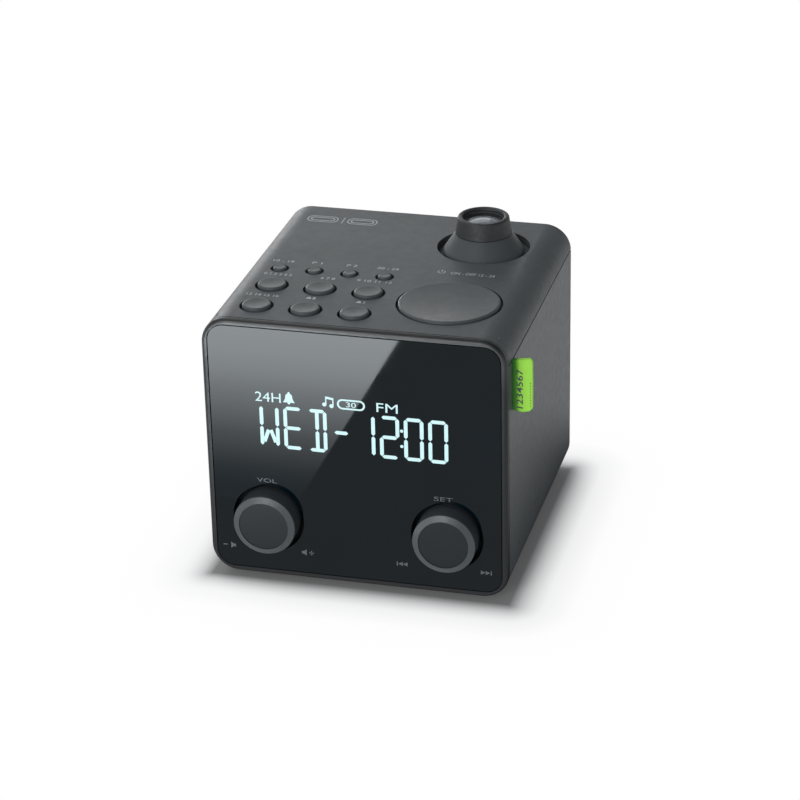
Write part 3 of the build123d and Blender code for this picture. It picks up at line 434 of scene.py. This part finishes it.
finishes = {
    "cover": moulded("cover_satin", (76, 81, 84), 0.5, specular=0.22),
    "shell": moulded("shell_satin", (76, 81, 84), 0.5, specular=0.3),
    "bezel": rim_and_cups("bezel_satin", (27, 30, 32), (24, 28, 31), (volume_centre, select_centre)),
    "key": moulded("key_satin", (74, 79, 82), 0.42, grain=0.3, specular=0.25),
    "turret": moulded("turret_satin", (72, 77, 80), 0.46, specular=0.25),
    "panel": gloss_panel("smoked_panel", (1, 12, 18)),
    "knob": moulded("knob_satin", (64, 69, 72), 0.4, grain=0.25, depth=0.006, specular=0.4),
    "volume_face": spun("volume_face_spun", (22, 27, 30), 0.45, volume_centre),
    "select_face": spun("select_face_spun", (22, 27, 30), 0.45, select_centre),
    "black": moulded("black_moulding", (30, 31, 32), 0.5, grain=0.5, depth=0.02),
    "white": moulded("white_moulding", (225, 226, 222), 0.45),
    "rubber": rubber("black_rubber", (24, 24, 25)),
    "focus": rubber("focus_rubber", (38, 41, 43), 0.55),
    "steel": metal("plated_steel", (170, 171, 174), 0.3),
    "brass": metal("plated_brass", (190, 160, 96), 0.3),
    "board": board("solder_mask", (18, 74, 40)),
    "ferrite": metal("ferrite", (52, 52, 55), 0.6),
    "cone": woven("doped_paper", (30, 30, 31), 0.8, ALONG_Y),
    "cloth": woven("grille_cloth", (22, 22, 23), 0.6, ALONG_Y),
    "ribbon": woven("tag_ribbon", (168, 240, 76), 0.42, root_shade=ribbon_root_shade),
    "flat_cable": moulded("flat_cable", (198, 198, 190), 0.4),
    # its pale colour over 0.85 of the lens is a painted reflection
    "lens": lens_glass("lens_glass", (118, 126, 132), 0.85),
    "crystal": moulded("display_crystal", (16, 22, 24), 0.12, grain=1.0, depth=0.001),
    "print": printed("printed_marks", (168, 174, 178)),
    "panel_print": printed("panel_marks", (86, 94, 98)),
    "segments": lit("lit_segments", (205, 244, 247), 1.0),
    "tag_print": printed("tag_print", (70, 74, 82)),
}

worn_by = {
    "cover": ["top_cover"],
    "shell": ["lower_shell", "battery_door"],
    "bezel": ["front_bezel"],
    "key": ["snooze_key"]
    + [f"preset_key_{i}" for i in range(1, 5)]
    + [f"function_key_{i}" for i in range(1, 7)],
    "turret": ["projector_turret"],
    "panel": ["front_lens"],
    "knob": ["volume_knob", "select_knob"],
    "volume_face": ["volume_knob_face"],
    "select_face": ["select_knob_face"],
    "black": [
        "rear_cover",
        "encoder_bodies",
        "select_plunger",
        "key_switches",
        "lens_barrel",
        "slide_holder",
        "capacitors",
        "dc_jack",
        "audio_jack",
    ],
    "white": ["display_holder", "coin_holder"],
    "rubber": ["feet", "aerial_grommet"],
    "focus": ["focus_ring"],
    "steel": [
        "case_screws",
        "inner_screws",
        "volume_shaft",
        "select_shaft",
        "turret_retainer",
        "speaker_frame",
        "tuner_can",
        "coin_cell",
    ],
    "brass": ["encoder_nuts"],
    "board": ["front_board", "top_board", "main_board", "projector_board"],
    "ferrite": ["speaker_magnet"],
    "cone": ["speaker_cone"],
    "cloth": ["grille_cloth"],
    "ribbon": ["side_tag"],
    "flat_cable": ["display_ribbon", "key_ribbon"],
    "lens": ["projection_lens", "projector_lamp"],
    "crystal": ["display_glass", "projector_slide"],
}
for finish, names in worn_by.items():
    for name in names:
        mesh = nodes[name].data
        mesh.materials.clear()
        mesh.materials.append(finishes[finish])
bare = set(nodes) - {name for names in worn_by.values() for name in names}
assert not bare, bare

# ---------------------------------------------------------------- rounded edges

WELD_REACH = 0.002
EDGE_ANGLE = 32.0  # degrees from which an edge counts as sharp
EDGE_SEGMENTS = 2


def soften(name, width):
    """Rounds the sharp edges of a moulded part by `width` millimetres."""
    piece = nodes[name]
    weld = piece.modifiers.new("weld", "WELD")
    weld.merge_threshold = WELD_REACH * MM
    bevel = piece.modifiers.new("bevel", "BEVEL")
    bevel.width = width * MM
    bevel.segments = EDGE_SEGMENTS
    bevel.limit_method = "ANGLE"
    bevel.angle_limit = math.radians(EDGE_ANGLE)
    bevel.harden_normals = True


for name, width in (
    ("lower_shell", 0.25),
    ("front_lens", 0.12),
    ("front_bezel", 0.15),
    ("battery_door", 0.25),
    ("feet", 0.5),
):
    soften(name, width)

# ---------------------------------------------------------------- flat marks

LIT_RAISE = 0.02  # of the display's signs above the front panel
PRINT_RAISE = 0.012  # of printed marks above the case
MARK_SINK = 0.05
LETTER_BOLD = 0.01  # as a share of the letter size
DISC_STEPS = 20
CORNER_STEPS = 6


def arc(u, v, radius, start, end, steps):
    """Points on an arc, angles in degrees."""
    angles = [math.radians(start + (end - start) * i / steps) for i in range(steps + 1)]
    return [(u + radius * math.cos(angle), v + radius * math.sin(angle)) for angle in angles]


def rounded_box(u, v, width, height, radius):
    """Outline of a box with round corners about its centre."""
    points = []
    for sign_u, sign_v, start in ((1, 1, 0), (-1, 1, 90), (-1, -1, 180), (1, -1, 270)):
        corner_u = u + sign_u * (width / 2 - radius)
        corner_v = v + sign_v * (height / 2 - radius)
        points += arc(corner_u, corner_v, radius, start, start + 90, CORNER_STEPS)
    return points


def mesh_from(work, name, material):
    """The finished mesh of a bmesh, with its material."""
    mesh = bpy.data.meshes.new(name)
    work.to_mesh(mesh)
    work.free()
    mesh.materials.append(material)
    return mesh


class Marks:
    """Flat shapes on a face of the case: u and v in millimetres along the face, raised a little from it."""

    def __init__(self, name, origin, u, v, raise_by):
        self.name = name
        self.origin = Vector(origin)
        self.u = Vector(u)
        self.v = Vector(v)
        self.normal = self.u.cross(self.v)
        self.raise_by = raise_by
        self.work = bmesh.new()

    def point(self, u, v, out):
        """A place on the face, `out` millimetres in front of it."""
        return self.origin + (self.u * u + self.v * v + self.normal * out) * MM

    def loops(self, outline):
        """The outline's corners on the raised side and on the sunken side."""
        return [
            [self.work.verts.new(self.point(u, v, out)) for u, v in outline]
            for out in (self.raise_by, -MARK_SINK)
        ]

    def polygon(self, outline):
        """A raised shape from its outline, given anticlockwise as seen from outside."""
        top, low = self.loops(outline)
        self.work.faces.new(top)
        self.work.faces.new(list(reversed(low)))
        for i in range(len(outline)):
            j = (i + 1) % len(outline)
            self.work.faces.new((top[j], top[i], low[i], low[j]))

    def ring(self, outer, inner):
        """A raised ring between two outlines with as many points."""
        top_out, low_out = self.loops(outer)
        top_in, low_in = self.loops(inner)
        for i in range(len(outer)):
            j = (i + 1) % len(outer)
            self.work.faces.new((top_out[i], top_out[j], top_in[j], top_in[i]))
            self.work.faces.new((top_out[j], top_out[i], low_out[i], low_out[j]))
            self.work.faces.new((top_in[i], top_in[j], low_in[j], low_in[i]))
            self.work.faces.new((low_out[j], low_out[i], low_in[i], low_in[j]))

    def bar(self, start, end, width, point_ends=False):
        """A straight stroke, with pointed ends where it meets other segments."""
        start, end = Vector(start), Vector(end)
        along = (end - start).normalized()
        side = Vector((-along.y, along.x)) * width / 2
        if point_ends:
            inset = along * width / 2
            near, far = start + inset, end - inset
            outline = [start, near - side, far - side, end, far + side, near + side]
        else:
            outline = [start - side, end - side, end + side, start + side]
        self.polygon([tuple(corner) for corner in outline])

    def disc(self, u, v, radius):
        """A raised disc."""
        self.polygon(arc(u, v, radius, 0, 360, DISC_STEPS)[:-1])

    def letters(self, text, low, high, foot, height, bold=0.0):
        """Plain lettering that fills the stretch from low to high, with capitals of one height."""
        curve = bpy.data.curves.new("lettering", "FONT")
        curve.body = text
        curve.resolution_u = 4
        curve.offset = bold
        holder = bpy.data.objects.new("lettering", curve)
        mesh = bpy.data.meshes.new_from_object(holder)
        first = min(corner.co.x for corner in mesh.vertices)
        last = max(corner.co.x for corner in mesh.vertices)
        across = (high - low) / (last - first)
        up = height / max(corner.co.y for corner in mesh.vertices)
        made = []
        for corner in mesh.vertices:
            u = low + (corner.co.x - first) * across
            v = foot + corner.co.y * up
            made.append(self.work.verts.new(self.point(u, v, self.raise_by)))
        for face in mesh.polygons:
            self.work.faces.new([made[i] for i in face.vertices])
        bpy.data.objects.remove(holder)
        bpy.data.curves.remove(curve)
        bpy.data.meshes.remove(mesh)

    def done(self, material, body, slot):
        """Turns the shapes into one piece that rides on a body."""
        bmesh.ops.recalc_face_normals(self.work, faces=list(self.work.faces))
        piece = new_object(self.name, mesh_from(self.work, self.name, material))
        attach(piece, body)


def front_marks(name, raise_by):
    """Marks on the front panel: u from its middle, v above the table."""
    return Marks(name, at(0, 0, 0), ALONG_X, ALONG_Z, raise_by)


# ---------------------------------------------------------------- lit display

CELL_WIDTH = 7.4
CELL_HEIGHT = 17.35
CELL_PITCH = 9.14
CELL_START = -36.1
CELL_FOOT = 55.85
STROKE = 1.4
STROKE_GAP = 0.12
SLANT_INSET = 0.77
DASH_INSET = 0.28  # by which a dash is shorter at each end than its segment
COLON_CELL = 6  # the character that the colon stands before
COLON_RISES = (0.32, 0.68)  # shares of the cell's height
COLON_RADIUS = 0.62
SHOWN = "WED-1200"
GLYPHS = {
    "W": "efbcmn",
    "E": "adefg",
    "D": "abcdil",
    "-": "g",
    "1": "bc",
    "2": "abgde",
    "0": "abcdef",
}
SLANTED = "mn"
# words among the signs: their letters, where they start and end, their foot and their height
LIT_WORDS = (("24H", -37.5, -27.7, 74.45, 3.8), ("FM", 8.6, 16.6, 74.5, 3.6))
BELL_PLACE = (-24.6, 74.9)
NOTE_PLACE = (-11.1, 75.5)
NOTE_STROKE = 0.45
PILL_PLACE = (-1.0, 76.25)
PILL_NUMBER = "30"
# width, height and corner radius of its outer and its inner edge
PILL_EDGES = ((10.6, 4.1, 2.05), (9.2, 2.8, 1.4))


def segment_ends():
    """The two ends of each segment within its cell."""
    left, centre, right = STROKE / 2, CELL_WIDTH / 2, CELL_WIDTH - STROKE / 2
    foot, middle, head = STROKE / 2, CELL_HEIGHT / 2, CELL_HEIGHT - STROKE / 2
    return {
        "a": ((left, head), (right, head)),
        "b": ((right, head), (right, middle)),
        "c": ((right, middle), (right, foot)),
        "d": ((left, foot), (right, foot)),
        "e": ((left, middle), (left, foot)),
        "f": ((left, head), (left, middle)),
        "g": ((left, middle), (right, middle)),
        "i": ((centre, head), (centre, middle)),
        "l": ((centre, middle), (centre, foot)),
        "m": ((centre - SLANT_INSET / 2, middle - STROKE), (left + SLANT_INSET, foot + STROKE)),
        "n": ((centre + SLANT_INSET / 2, middle - STROKE), (right - SLANT_INSET, foot + STROKE)),
    }


def add_display():
    """A weekday and a time in lit segments."""
    display = front_marks("display_segments", LIT_RAISE)
    ends = segment_ends()
    for cell, character in enumerate(SHOWN):
        origin = Vector((CELL_START + cell * CELL_PITCH, CELL_FOOT))
        for segment in GLYPHS[character]:
            start, end = (Vector(point) for point in ends[segment])
            gap = STROKE_GAP + (DASH_INSET if character == "-" else 0.0)
            inset = (end - start).normalized() * gap
            display.bar(origin + start + inset, origin + end - inset, STROKE, segment not in SLANTED)
    colon_u = CELL_START + COLON_CELL * CELL_PITCH - (CELL_PITCH - CELL_WIDTH) / 2
    for rise in COLON_RISES:
        display.disc(colon_u, CELL_FOOT + rise * CELL_HEIGHT, COLON_RADIUS)
    display.done(finishes["segments"], "case", "display_glass")


def bell_sign(marks, u, v):
    """Bell with its knob and its clapper."""
    marks.polygon(
        [(u - 2.3, v), (u + 2.3, v), (u + 1.8, v + 0.7), (u + 1.4, v + 1.6)]
        + arc(u, v + 2.3, 1.35, 20, 160, 8)
        + [(u - 1.4, v + 1.6), (u - 1.8, v + 0.7)]
    )
    marks.disc(u, v - 0.2, 0.5)
    marks.disc(u, v + 3.8, 0.45)


def note_sign(marks, u, v):
    """Two notes under one beam."""
    for head_u, head_v in ((u, v), (u + 2.7, v - 0.4)):
        marks.disc(head_u, head_v, 0.8)
        marks.bar((head_u + 0.6, head_v), (head_u + 0.6, head_v + 2.9), NOTE_STROKE)
    marks.bar((u + 0.4, v + 2.9), (u + 3.5, v + 2.4), 2 * NOTE_STROKE)


def pill_sign(marks, u, v, number):
    """Outlined pill with a number in it."""
    marks.ring(*(rounded_box(u, v, *edge) for edge in PILL_EDGES))
    marks.letters(number, u - 1.9, u + 1.9, v - 1.0, 2.0)


def add_signs():
    """The row of small lit signs above the segments."""
    signs = front_marks("display_signs", LIT_RAISE)
    for word in LIT_WORDS:
        signs.letters(*word)
    bell_sign(signs, *BELL_PLACE)
    note_sign(signs, *NOTE_PLACE)
    pill_sign(signs, *PILL_PLACE, PILL_NUMBER)
    signs.done(finishes["segments"], "case", "display_glass")


add_display()
add_signs()

# ---------------------------------------------------------------- marks on the front panel

# each word with where it starts and ends, its foot and its height
PANEL_WORDS = (("VOL", -38.3, -30.6, 41.0, 1.7), ("SET", 29.6, 36.8, 40.5, 1.7))
PANEL_STROKE = 0.42
HALF_SIGN = 0.9
HALF_MINUS = 0.85
# the middles of the signs beside the left knob, and their height
MINUS_U = -51.95
SOFTER_U = -49.0
LOUDER_U = -20.7
PLUS_U = -18.1
LOUDNESS_V = 13.0
# the same beside the right knob, and how far the arrowheads and the bar are from a sign's middle
BACK_U = 17.3
ONWARD_U = 48.8
SKIP_V = 12.5
ARROW_STEPS = (-0.85, 0.95)
ARROW_RISE = 0.85  # half the height of an arrowhead
BAR_STEP = 2.2


def speaker_sign(marks, u, v, facing):
    """Loudspeaker sign that faces left (-1) or right (1)."""
    outline = [(-1.2, -0.55), (-0.35, -0.55), (0.7, -1.3), (0.7, 1.3), (-0.35, 0.55), (-1.2, 0.55)]
    if facing < 0:
        outline = [(-x, y) for x, y in reversed(outline)]
    marks.polygon([(u + x, v + y) for x, y in outline])


def skip_sign(marks, u, v, facing):
    """Two arrowheads against a bar, facing left (-1) or right (1)."""
    for step in ARROW_STEPS:
        tip = u + facing * (step + HALF_SIGN)
        foot = u + facing * (step - HALF_SIGN)
        shape = [(foot, v - ARROW_RISE), (tip, v), (foot, v + ARROW_RISE)]
        marks.polygon(shape if facing > 0 else list(reversed(shape)))
    edge = u + facing * BAR_STEP
    marks.bar((edge, v - HALF_SIGN), (edge, v + HALF_SIGN), PANEL_STROKE)


def add_panel_marks():
    """Names of the knobs, and the signs for what turning them does."""
    marks = front_marks("panel_marks", PRINT_RAISE)
    for word in PANEL_WORDS:
        marks.letters(*word)
    for u, half in ((MINUS_U, HALF_MINUS), (PLUS_U, HALF_SIGN)):
        marks.bar((u - half, LOUDNESS_V), (u + half, LOUDNESS_V), PANEL_STROKE)
    marks.bar((PLUS_U, LOUDNESS_V - HALF_SIGN), (PLUS_U, LOUDNESS_V + HALF_SIGN), PANEL_STROKE)
    speaker_sign(marks, SOFTER_U, LOUDNESS_V, -1)
    speaker_sign(marks, LOUDER_U, LOUDNESS_V, 1)
    skip_sign(marks, BACK_U, SKIP_V, -1)
    skip_sign(marks, ONWARD_U, SKIP_V, 1)
    marks.done(finishes["panel_print"], "case", "white_plastic")


add_panel_marks()

# ---------------------------------------------------------------- marks on the top

CAPTION_HEIGHT = 2.0
# the words of each caption, where they start and end, and the foot of the letters
CAPTIONS = (
    ("10 - 19", -46.4, -38.2, 56.2),
    ("P 1", -31.2, -27.3, 56.9),
    ("P 2", -17.6, -13.5, 57.0),
    ("20 - 29", -5.7, 2.7, 56.9),
    ("0 1 2 3 4 5", -46.3, -35.4, 43.4),
    ("6 7 8", -24.0, -18.5, 43.2),
    ("9 10 11 12", -10.2, 3.4, 43.9),
    ("13 14 15 16", -46.9, -34.5, 23.3),
)
ALARM_V = 24.0
ALARMS = ((-22.5, "1"), (-3.4, "2"))
POWER_PLACE = (19.0, 59.1)
POWER_RADII = (1.5, 1.15)
POWER_ARC = (125, 415)  # degrees at which the ring starts and ends
POWER_STEPS = 24
POWER_STROKE = 0.36
POWER_WORDS = ("ON - OFF 12 - 24", 22.7, 39.6, 57.6, 2.3)  # start, end, foot and height
PLATE_V = 101.8
PLATES = ((-45.8, -33.4), (-29.5, -17.5))  # left and right end of each
# the outer and inner edge of a plate's two lines: how much narrower than the plate, height and corner radius
PLATE_LINES = (
    ((0.0, 6.0, 2.4), (0.9, 5.1, 2.0)),
    ((2.6, 3.4, 1.5), (3.6, 2.4, 1.1)),
)
DIVIDER_U = -31.3
DIVIDER_HALF = 3.0
DIVIDER_WIDTH = 0.4


def alarm_sign(marks, u, v, number):
    """Small bell with the number of its alarm."""
    marks.polygon(
        [(u - 1.7, v + 0.1), (u + 0.5, v + 0.1), (u + 0.1, v + 0.9)]
        + arc(u - 0.6, v + 1.3, 0.7, 0, 180, 6)
        + [(u - 1.3, v + 0.9)]
    )
    marks.letters(number, u + 0.9, u + 1.9, v, CAPTION_HEIGHT, LETTER_BOLD)


def power_sign(marks, u, v):
    """Open ring with a short stroke in its gap."""
    outer, inner = (arc(u, v, radius, *POWER_ARC, POWER_STEPS) for radius in POWER_RADII)
    marks.polygon([*reversed(inner), *outer])
    marks.bar((u, v + 0.2), (u, v + 1.9), POWER_STROKE)


def plate_sign(marks, low, high, v):
    """Plain plate drawn as one outline within another."""
    u, width = (low + high) / 2, high - low
    for edges in PLATE_LINES:
        marks.ring(*(rounded_box(u, v, width - less, height, radius) for less, height, radius in edges))


def add_top_marks():
    """Captions of the keys, and the two plain plates at the back."""
    marks = Marks("top_marks", at(0, 0, Z_TOP), ALONG_X, ALONG_Y, PRINT_RAISE)
    for text, low, high, foot in CAPTIONS:
        marks.letters(text, low, high, foot, CAPTION_HEIGHT, LETTER_BOLD)
    for u, number in ALARMS:
        alarm_sign(marks, u, ALARM_V, number)
    power_sign(marks, *POWER_PLACE)
    marks.letters(*POWER_WORDS, LETTER_BOLD)
    for low, high in PLATES:
        plate_sign(marks, low, high, PLATE_V)
    marks.bar((DIVIDER_U, PLATE_V - DIVIDER_HALF), (DIVIDER_U, PLATE_V + DIVIDER_HALF), DIVIDER_WIDTH)
    marks.done(finishes["print"], "case", "white_plastic")


add_top_marks()

# ---------------------------------------------------------------- ribbon tag

TAG_ROOT = HALF_WIDTH - 5.5  # where its two ends stop inside the case
TAG_TIP = HALF_WIDTH + 7.1
TAG_LOW = 76.25
TAG_HIGH = 96.05
TAG_BACK = 9.5  # from the front of the case to its middle
TAG_FOLD = 0.42  # radius of its fold
TAG_CLOTH = 0.32  # thickness of the cloth
TAG_CORNER = 1.4  # radius of its corners, and how much of that they draw back
TAG_CORNER_SHARE = 0.8
TAG_STRAIGHT_STEPS = 26
TAG_FOLD_STEPS = 10
TAG_RISE_STEPS = 36
TAG_SWELL = 0.35  # share by which it opens half way out
TAG_LEAN = 0.75  # how far its tip leans back, bows back and ripples
TAG_BOW = 0.25
TAG_RIPPLE = 0.1
TAG_DROOP = 0.8  # how far its lower edge sags half way out
TAG_FLARE = 0.45  # how far its upper corner rises at the tip
TAG_RAISE = 0.02  # of its numbers and stitches above the cloth
TAG_NUMBERS = ("1234567", 1.3, 16.2, 3.6, 2.3)  # start, end, foot and height
STITCHES = 9
STITCH_START = 1.6
STITCH_PITCH = 1.1
STITCH_LENGTH = 0.5
STITCH_WIDTH = 0.2
STITCH_INSET = 0.9  # from the fold


def tag_place(x, y, z):
    """A point of the flat folded ribbon, moved to where its bends bring it."""
    out = max(0.0, (x - HALF_WIDTH) / (TAG_TIP - HALF_WIDTH))
    high = (z - TAG_LOW) / (TAG_HIGH - TAG_LOW)
    belly = math.sin(math.pi * min(1.0, out))
    bow = TAG_BOW * math.sin(math.pi * high) - TAG_RIPPLE * math.sin(3 * math.pi * high)
    lean_back = TAG_LEAN * out**1.5 + bow * out
    droop = -TAG_DROOP * belly * (1 - high)
    flare = TAG_FLARE * out * high**4
    return at(x, TAG_BACK + y * (1 + TAG_SWELL * belly) + lean_back, z + droop + flare)


def tag_row(z):
    """One line of the ribbon at a height: out on its near side, round the fold and back again."""
    straight, turn = TAG_STRAIGHT_STEPS, TAG_FOLD_STEPS
    from_end = min(z - TAG_LOW, TAG_HIGH - z)
    corner = 0.0
    if from_end < TAG_CORNER:
        corner = TAG_CORNER - math.sqrt(TAG_CORNER**2 - (TAG_CORNER - from_end) ** 2)
    tip = TAG_TIP - TAG_FOLD - TAG_CLOTH / 2 - corner * TAG_CORNER_SHARE
    near = [(TAG_ROOT + (tip - TAG_ROOT) * i / straight, -TAG_FOLD) for i in range(straight + 1)]
    angles = [-math.pi / 2 + math.pi * i / turn for i in range(1, turn)]
    fold = [(tip + TAG_FOLD * math.cos(angle), TAG_FOLD * math.sin(angle)) for angle in angles]
    back = [(x, -y) for x, y in reversed(near)]
    return near + fold + back


def add_tag():
    """The ribbon: one strip folded round at its tip, both ends in the slot."""
    work = bmesh.new()
    rows = []
    for step in range(TAG_RISE_STEPS + 1):
        z = TAG_LOW + (TAG_HIGH - TAG_LOW) * step / TAG_RISE_STEPS
        rows.append([work.verts.new(tag_place(x, y, z)) for x, y in tag_row(z)])
    for lower, upper in zip(rows, rows[1:]):
        for i in range(len(lower) - 1):
            work.faces.new((lower[i], lower[i + 1], upper[i + 1], upper[i]))
    for face in work.faces:
        face.smooth = True
    piece = new_object("tag_ribbon", mesh_from(work, "tag_ribbon", finishes["ribbon"]))
    thick = piece.modifiers.new("cloth", "SOLIDIFY")
    thick.thickness = TAG_CLOTH * MM
    thick.offset = 0.0
    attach(piece, "case")
    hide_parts("side_tag")


class TagMarks(Marks):
    """Marks on the ribbon's near face: u runs up the ribbon, v back towards the case."""

    def point(self, u, v, out):
        """A place on the ribbon, `out` millimetres in front of it."""
        return tag_place(TAG_TIP - v, -TAG_FOLD - TAG_CLOTH / 2 - out, TAG_LOW + u)


def add_tag_marks():
    """Numbers printed along the ribbon, and a row of stitches beside its fold."""
    marks = TagMarks("tag_marks", (0, 0, 0), ALONG_X, ALONG_Y, TAG_RAISE)
    marks.letters(*TAG_NUMBERS, LETTER_BOLD)
    for stitch in range(STITCHES):
        start = STITCH_START + STITCH_PITCH * stitch
        marks.bar((start, STITCH_INSET), (start + STITCH_LENGTH, STITCH_INSET), STITCH_WIDTH)
    marks.done(finishes["tag_print"], "case", "green_ribbon")


add_tag()
add_tag_marks()

# ---------------------------------------------------------------- floor, gloss card and light

# levels by the distance from the case
FADE_REACH = 80.0
# painted shadow: the floor's own colour darkens close to the case
FLOOR_PAINTED_SHADOW = ((0, 0.25), (4, 0.7), (10, 1.0))
FLOOR_WHITE = ((0, 0.05), (3, 0.17), (7, 0.45), (13, 0.8), (25, 0.97), (45, 1.0))
# painted shadow in the floor that the glossy sides mirror
SIDE_MIRRORED_SHADOW = ((0, 0.0), (10, 0.03), (22, 0.12), (34, 0.35), (50, 0.8), (65, 1.0))
FLOOR_HALF = 6000.0
FLOOR_GREYS = (0.93, 0.95)
# the card's edges and height, and its levels by the distance in front of the case
CARD_LEFT = -190.0
CARD_RIGHT = -42.2
CARD_NEAR = 60.0
CARD_FAR = 340.0
CARD_RISE = 0.6
CARD_STRENGTH = 17.0
CARD_SHINE = (
    (70, 0.01),
    (79, 0.026),
    (87, 0.047),
    (95, 0.086),
    (117, 0.21),
    (139, 0.41),
    (158, 0.58),
    (177, 0.79),
    (198, 0.93),
    (219, 1.0),
)
CARD_COLOUR = (0.94, 1.0, 1.03, 1.0)
WORLD_COLOUR = (0.93, 0.97, 1.0, 1.0)
WORLD_STRENGTH = 0.35
# the mirrored room dims between two values of the x or z of the direction, down to the level below them
RIGHT_FADE = (0.0, 0.45)
RIGHT_SHINE = 0.42
OVERHEAD_FADE = (0.15, 0.5)
OVERHEAD_SHINE = 0.15
LOW_AIM = (0, 0, 50)
HIGH_AIM = (0, 0, 80)


def beyond_case(shader):
    """Distance of a place on the floor from the case's footprint."""
    away = shader.vector("ABSOLUTE", shader.vector("SUBTRACT", shader.place, at(0, CASE_DEPTH / 2, 0)))
    past = shader.vector("SUBTRACT", away, (HALF_WIDTH * MM, CASE_DEPTH / 2 * MM, 1.0))
    beyond = shader.vector("MAXIMUM", past)
    return shader.vector("LENGTH", shader.vector("MULTIPLY", beyond, (1, 1, 0)))


def add_stage_sheet(name, corners, material):
    """One flat face that is part of the stage."""
    mesh = bpy.data.meshes.new(name)
    mesh.from_pydata(corners, [], [(0, 1, 2, 3)])
    mesh.materials.append(material)
    sheet = new_object(name, mesh)
    return sheet


def add_floor():
    """Plain pale floor that keeps the object's shadow, with more shadow painted into its colour close to the
    case, and fades to white.
    """
    shader = new_shader("floor_pale")
    away = beyond_case(shader)
    grain = shader.mix(shader.noise(60.0), *(grey(level) for level in FLOOR_GREYS))
    # painted shadow in the floor's colour close to the case
    painted_shadow_grey = shader.mix(shader.levels(away, FADE_REACH, FLOOR_PAINTED_SHADOW), grey(0.0), grain)
    diffuse = shader.add("ShaderNodeBsdfDiffuse", Color=painted_shadow_grey)
    # painted shadow for the glossy sides to mirror: the floor they see is darker close to the case, except
    # in front of it
    beside = shader.maths("GREATER_THAN", shader.along("Y"), Y_FRONT * MM)
    mirrored_shadow = shader.mix(beside, grey(1.0), shader.levels(away, FADE_REACH, SIDE_MIRRORED_SHADOW))
    shown = shader.mix(shader.any_ray("Is Glossy Ray"), grey(1.0), mirrored_shadow)
    white = shader.add("ShaderNodeEmission", Color=shown, Strength=1.0)
    faded = shader.levels(away, FADE_REACH, FLOOR_WHITE)
    seen = shader.maths("MULTIPLY", faded, shader.any_ray("Is Camera Ray"))
    share = shader.maths("MAXIMUM", seen, shader.any_ray("Is Glossy Ray", "Is Transmission Ray"))
    material = shader.show(shader.blend(share, diffuse, white))
    half = FLOOR_HALF * MM
    corners = [(-half, -half, 0), (half, -half, 0), (half, half, 0), (-half, half, 0)]
    add_stage_sheet("floor", corners, material)


def add_gloss_card():
    """A low card on the table in front, seen only as the diagonal shine on the front panel."""
    shader = new_shader("gloss_card")
    ahead = shader.maths("SUBTRACT", Y_FRONT * MM, shader.along("Y"))
    shine = shader.maths("MULTIPLY", shader.levels(ahead, CARD_FAR, CARD_SHINE), CARD_STRENGTH)
    strength = shader.maths("ADD", shine, 1.0)
    glow = shader.add("ShaderNodeEmission", Color=CARD_COLOUR, Strength=strength)
    corners = [
        at(CARD_LEFT, -CARD_FAR, CARD_RISE),
        at(CARD_RIGHT, -CARD_FAR, CARD_RISE),
        at(CARD_RIGHT, -CARD_NEAR, CARD_RISE),
        at(CARD_LEFT, -CARD_NEAR, CARD_RISE),
    ]
    card = add_stage_sheet("gloss_card", corners, shader.show(glow))
    card.visible_camera = False
    card.visible_diffuse = False
    card.visible_transmission = False
    card.visible_shadow = False


def add_world():
    """White where the camera looks, soft grey as light, and a room that glossy faces mirror."""
    world = bpy.data.worlds.new("world")
    shader = Shader(world, "ShaderNodeOutputWorld", "Generated")
    to_the_right = shader.ramp(shader.along("X"), *RIGHT_FADE, 1.0, RIGHT_SHINE)
    overhead = shader.ramp(shader.along("Z"), *OVERHEAD_FADE, 1.0, OVERHEAD_SHINE)
    room = shader.maths("MULTIPLY", to_the_right, overhead)
    level = shader.ramp(shader.any_ray("Is Glossy Ray"), 0.0, 1.0, 1.0, room)
    seen = shader.add("ShaderNodeBackground", Color=grey(1.0), Strength=level)
    light = shader.add("ShaderNodeBackground", Color=WORLD_COLOUR, Strength=WORLD_STRENGTH)
    share = shader.any_ray("Is Camera Ray", "Is Glossy Ray", "Is Transmission Ray")
    bpy.context.scene.world = shader.show(shader.blend(share, light, seen))


def add_lamp(name, place, aim, size, power):
    """A soft square lamp at a place, aimed at a point; its power is in watts."""
    data = bpy.data.lights.new(name, "AREA")
    data.size = size * MM
    data.energy = power
    lamp = new_object(name, data)
    lamp.location = Vector(place) * MM
    lamp.rotation_euler = (Vector(aim) - Vector(place)).to_track_quat("-Z", "Y").to_euler()
    lamp.visible_camera = False


add_floor()
add_gloss_card()
add_world()
add_lamp("key_lamp", (-500, 200, 950), LOW_AIM, 600, 3.0)
add_lamp("front_lamp", (-350, -1500, 550), LOW_AIM, 800, 13.0)
add_lamp("edge_lamp", (-700, 1000, 300), HIGH_AIM, 300, 2.0)
add_lamp("back_lamp", (-100, 260, 200), HIGH_AIM, 200, 0.11)

bpy.context.scene.view_settings.view_transform = "Standard"
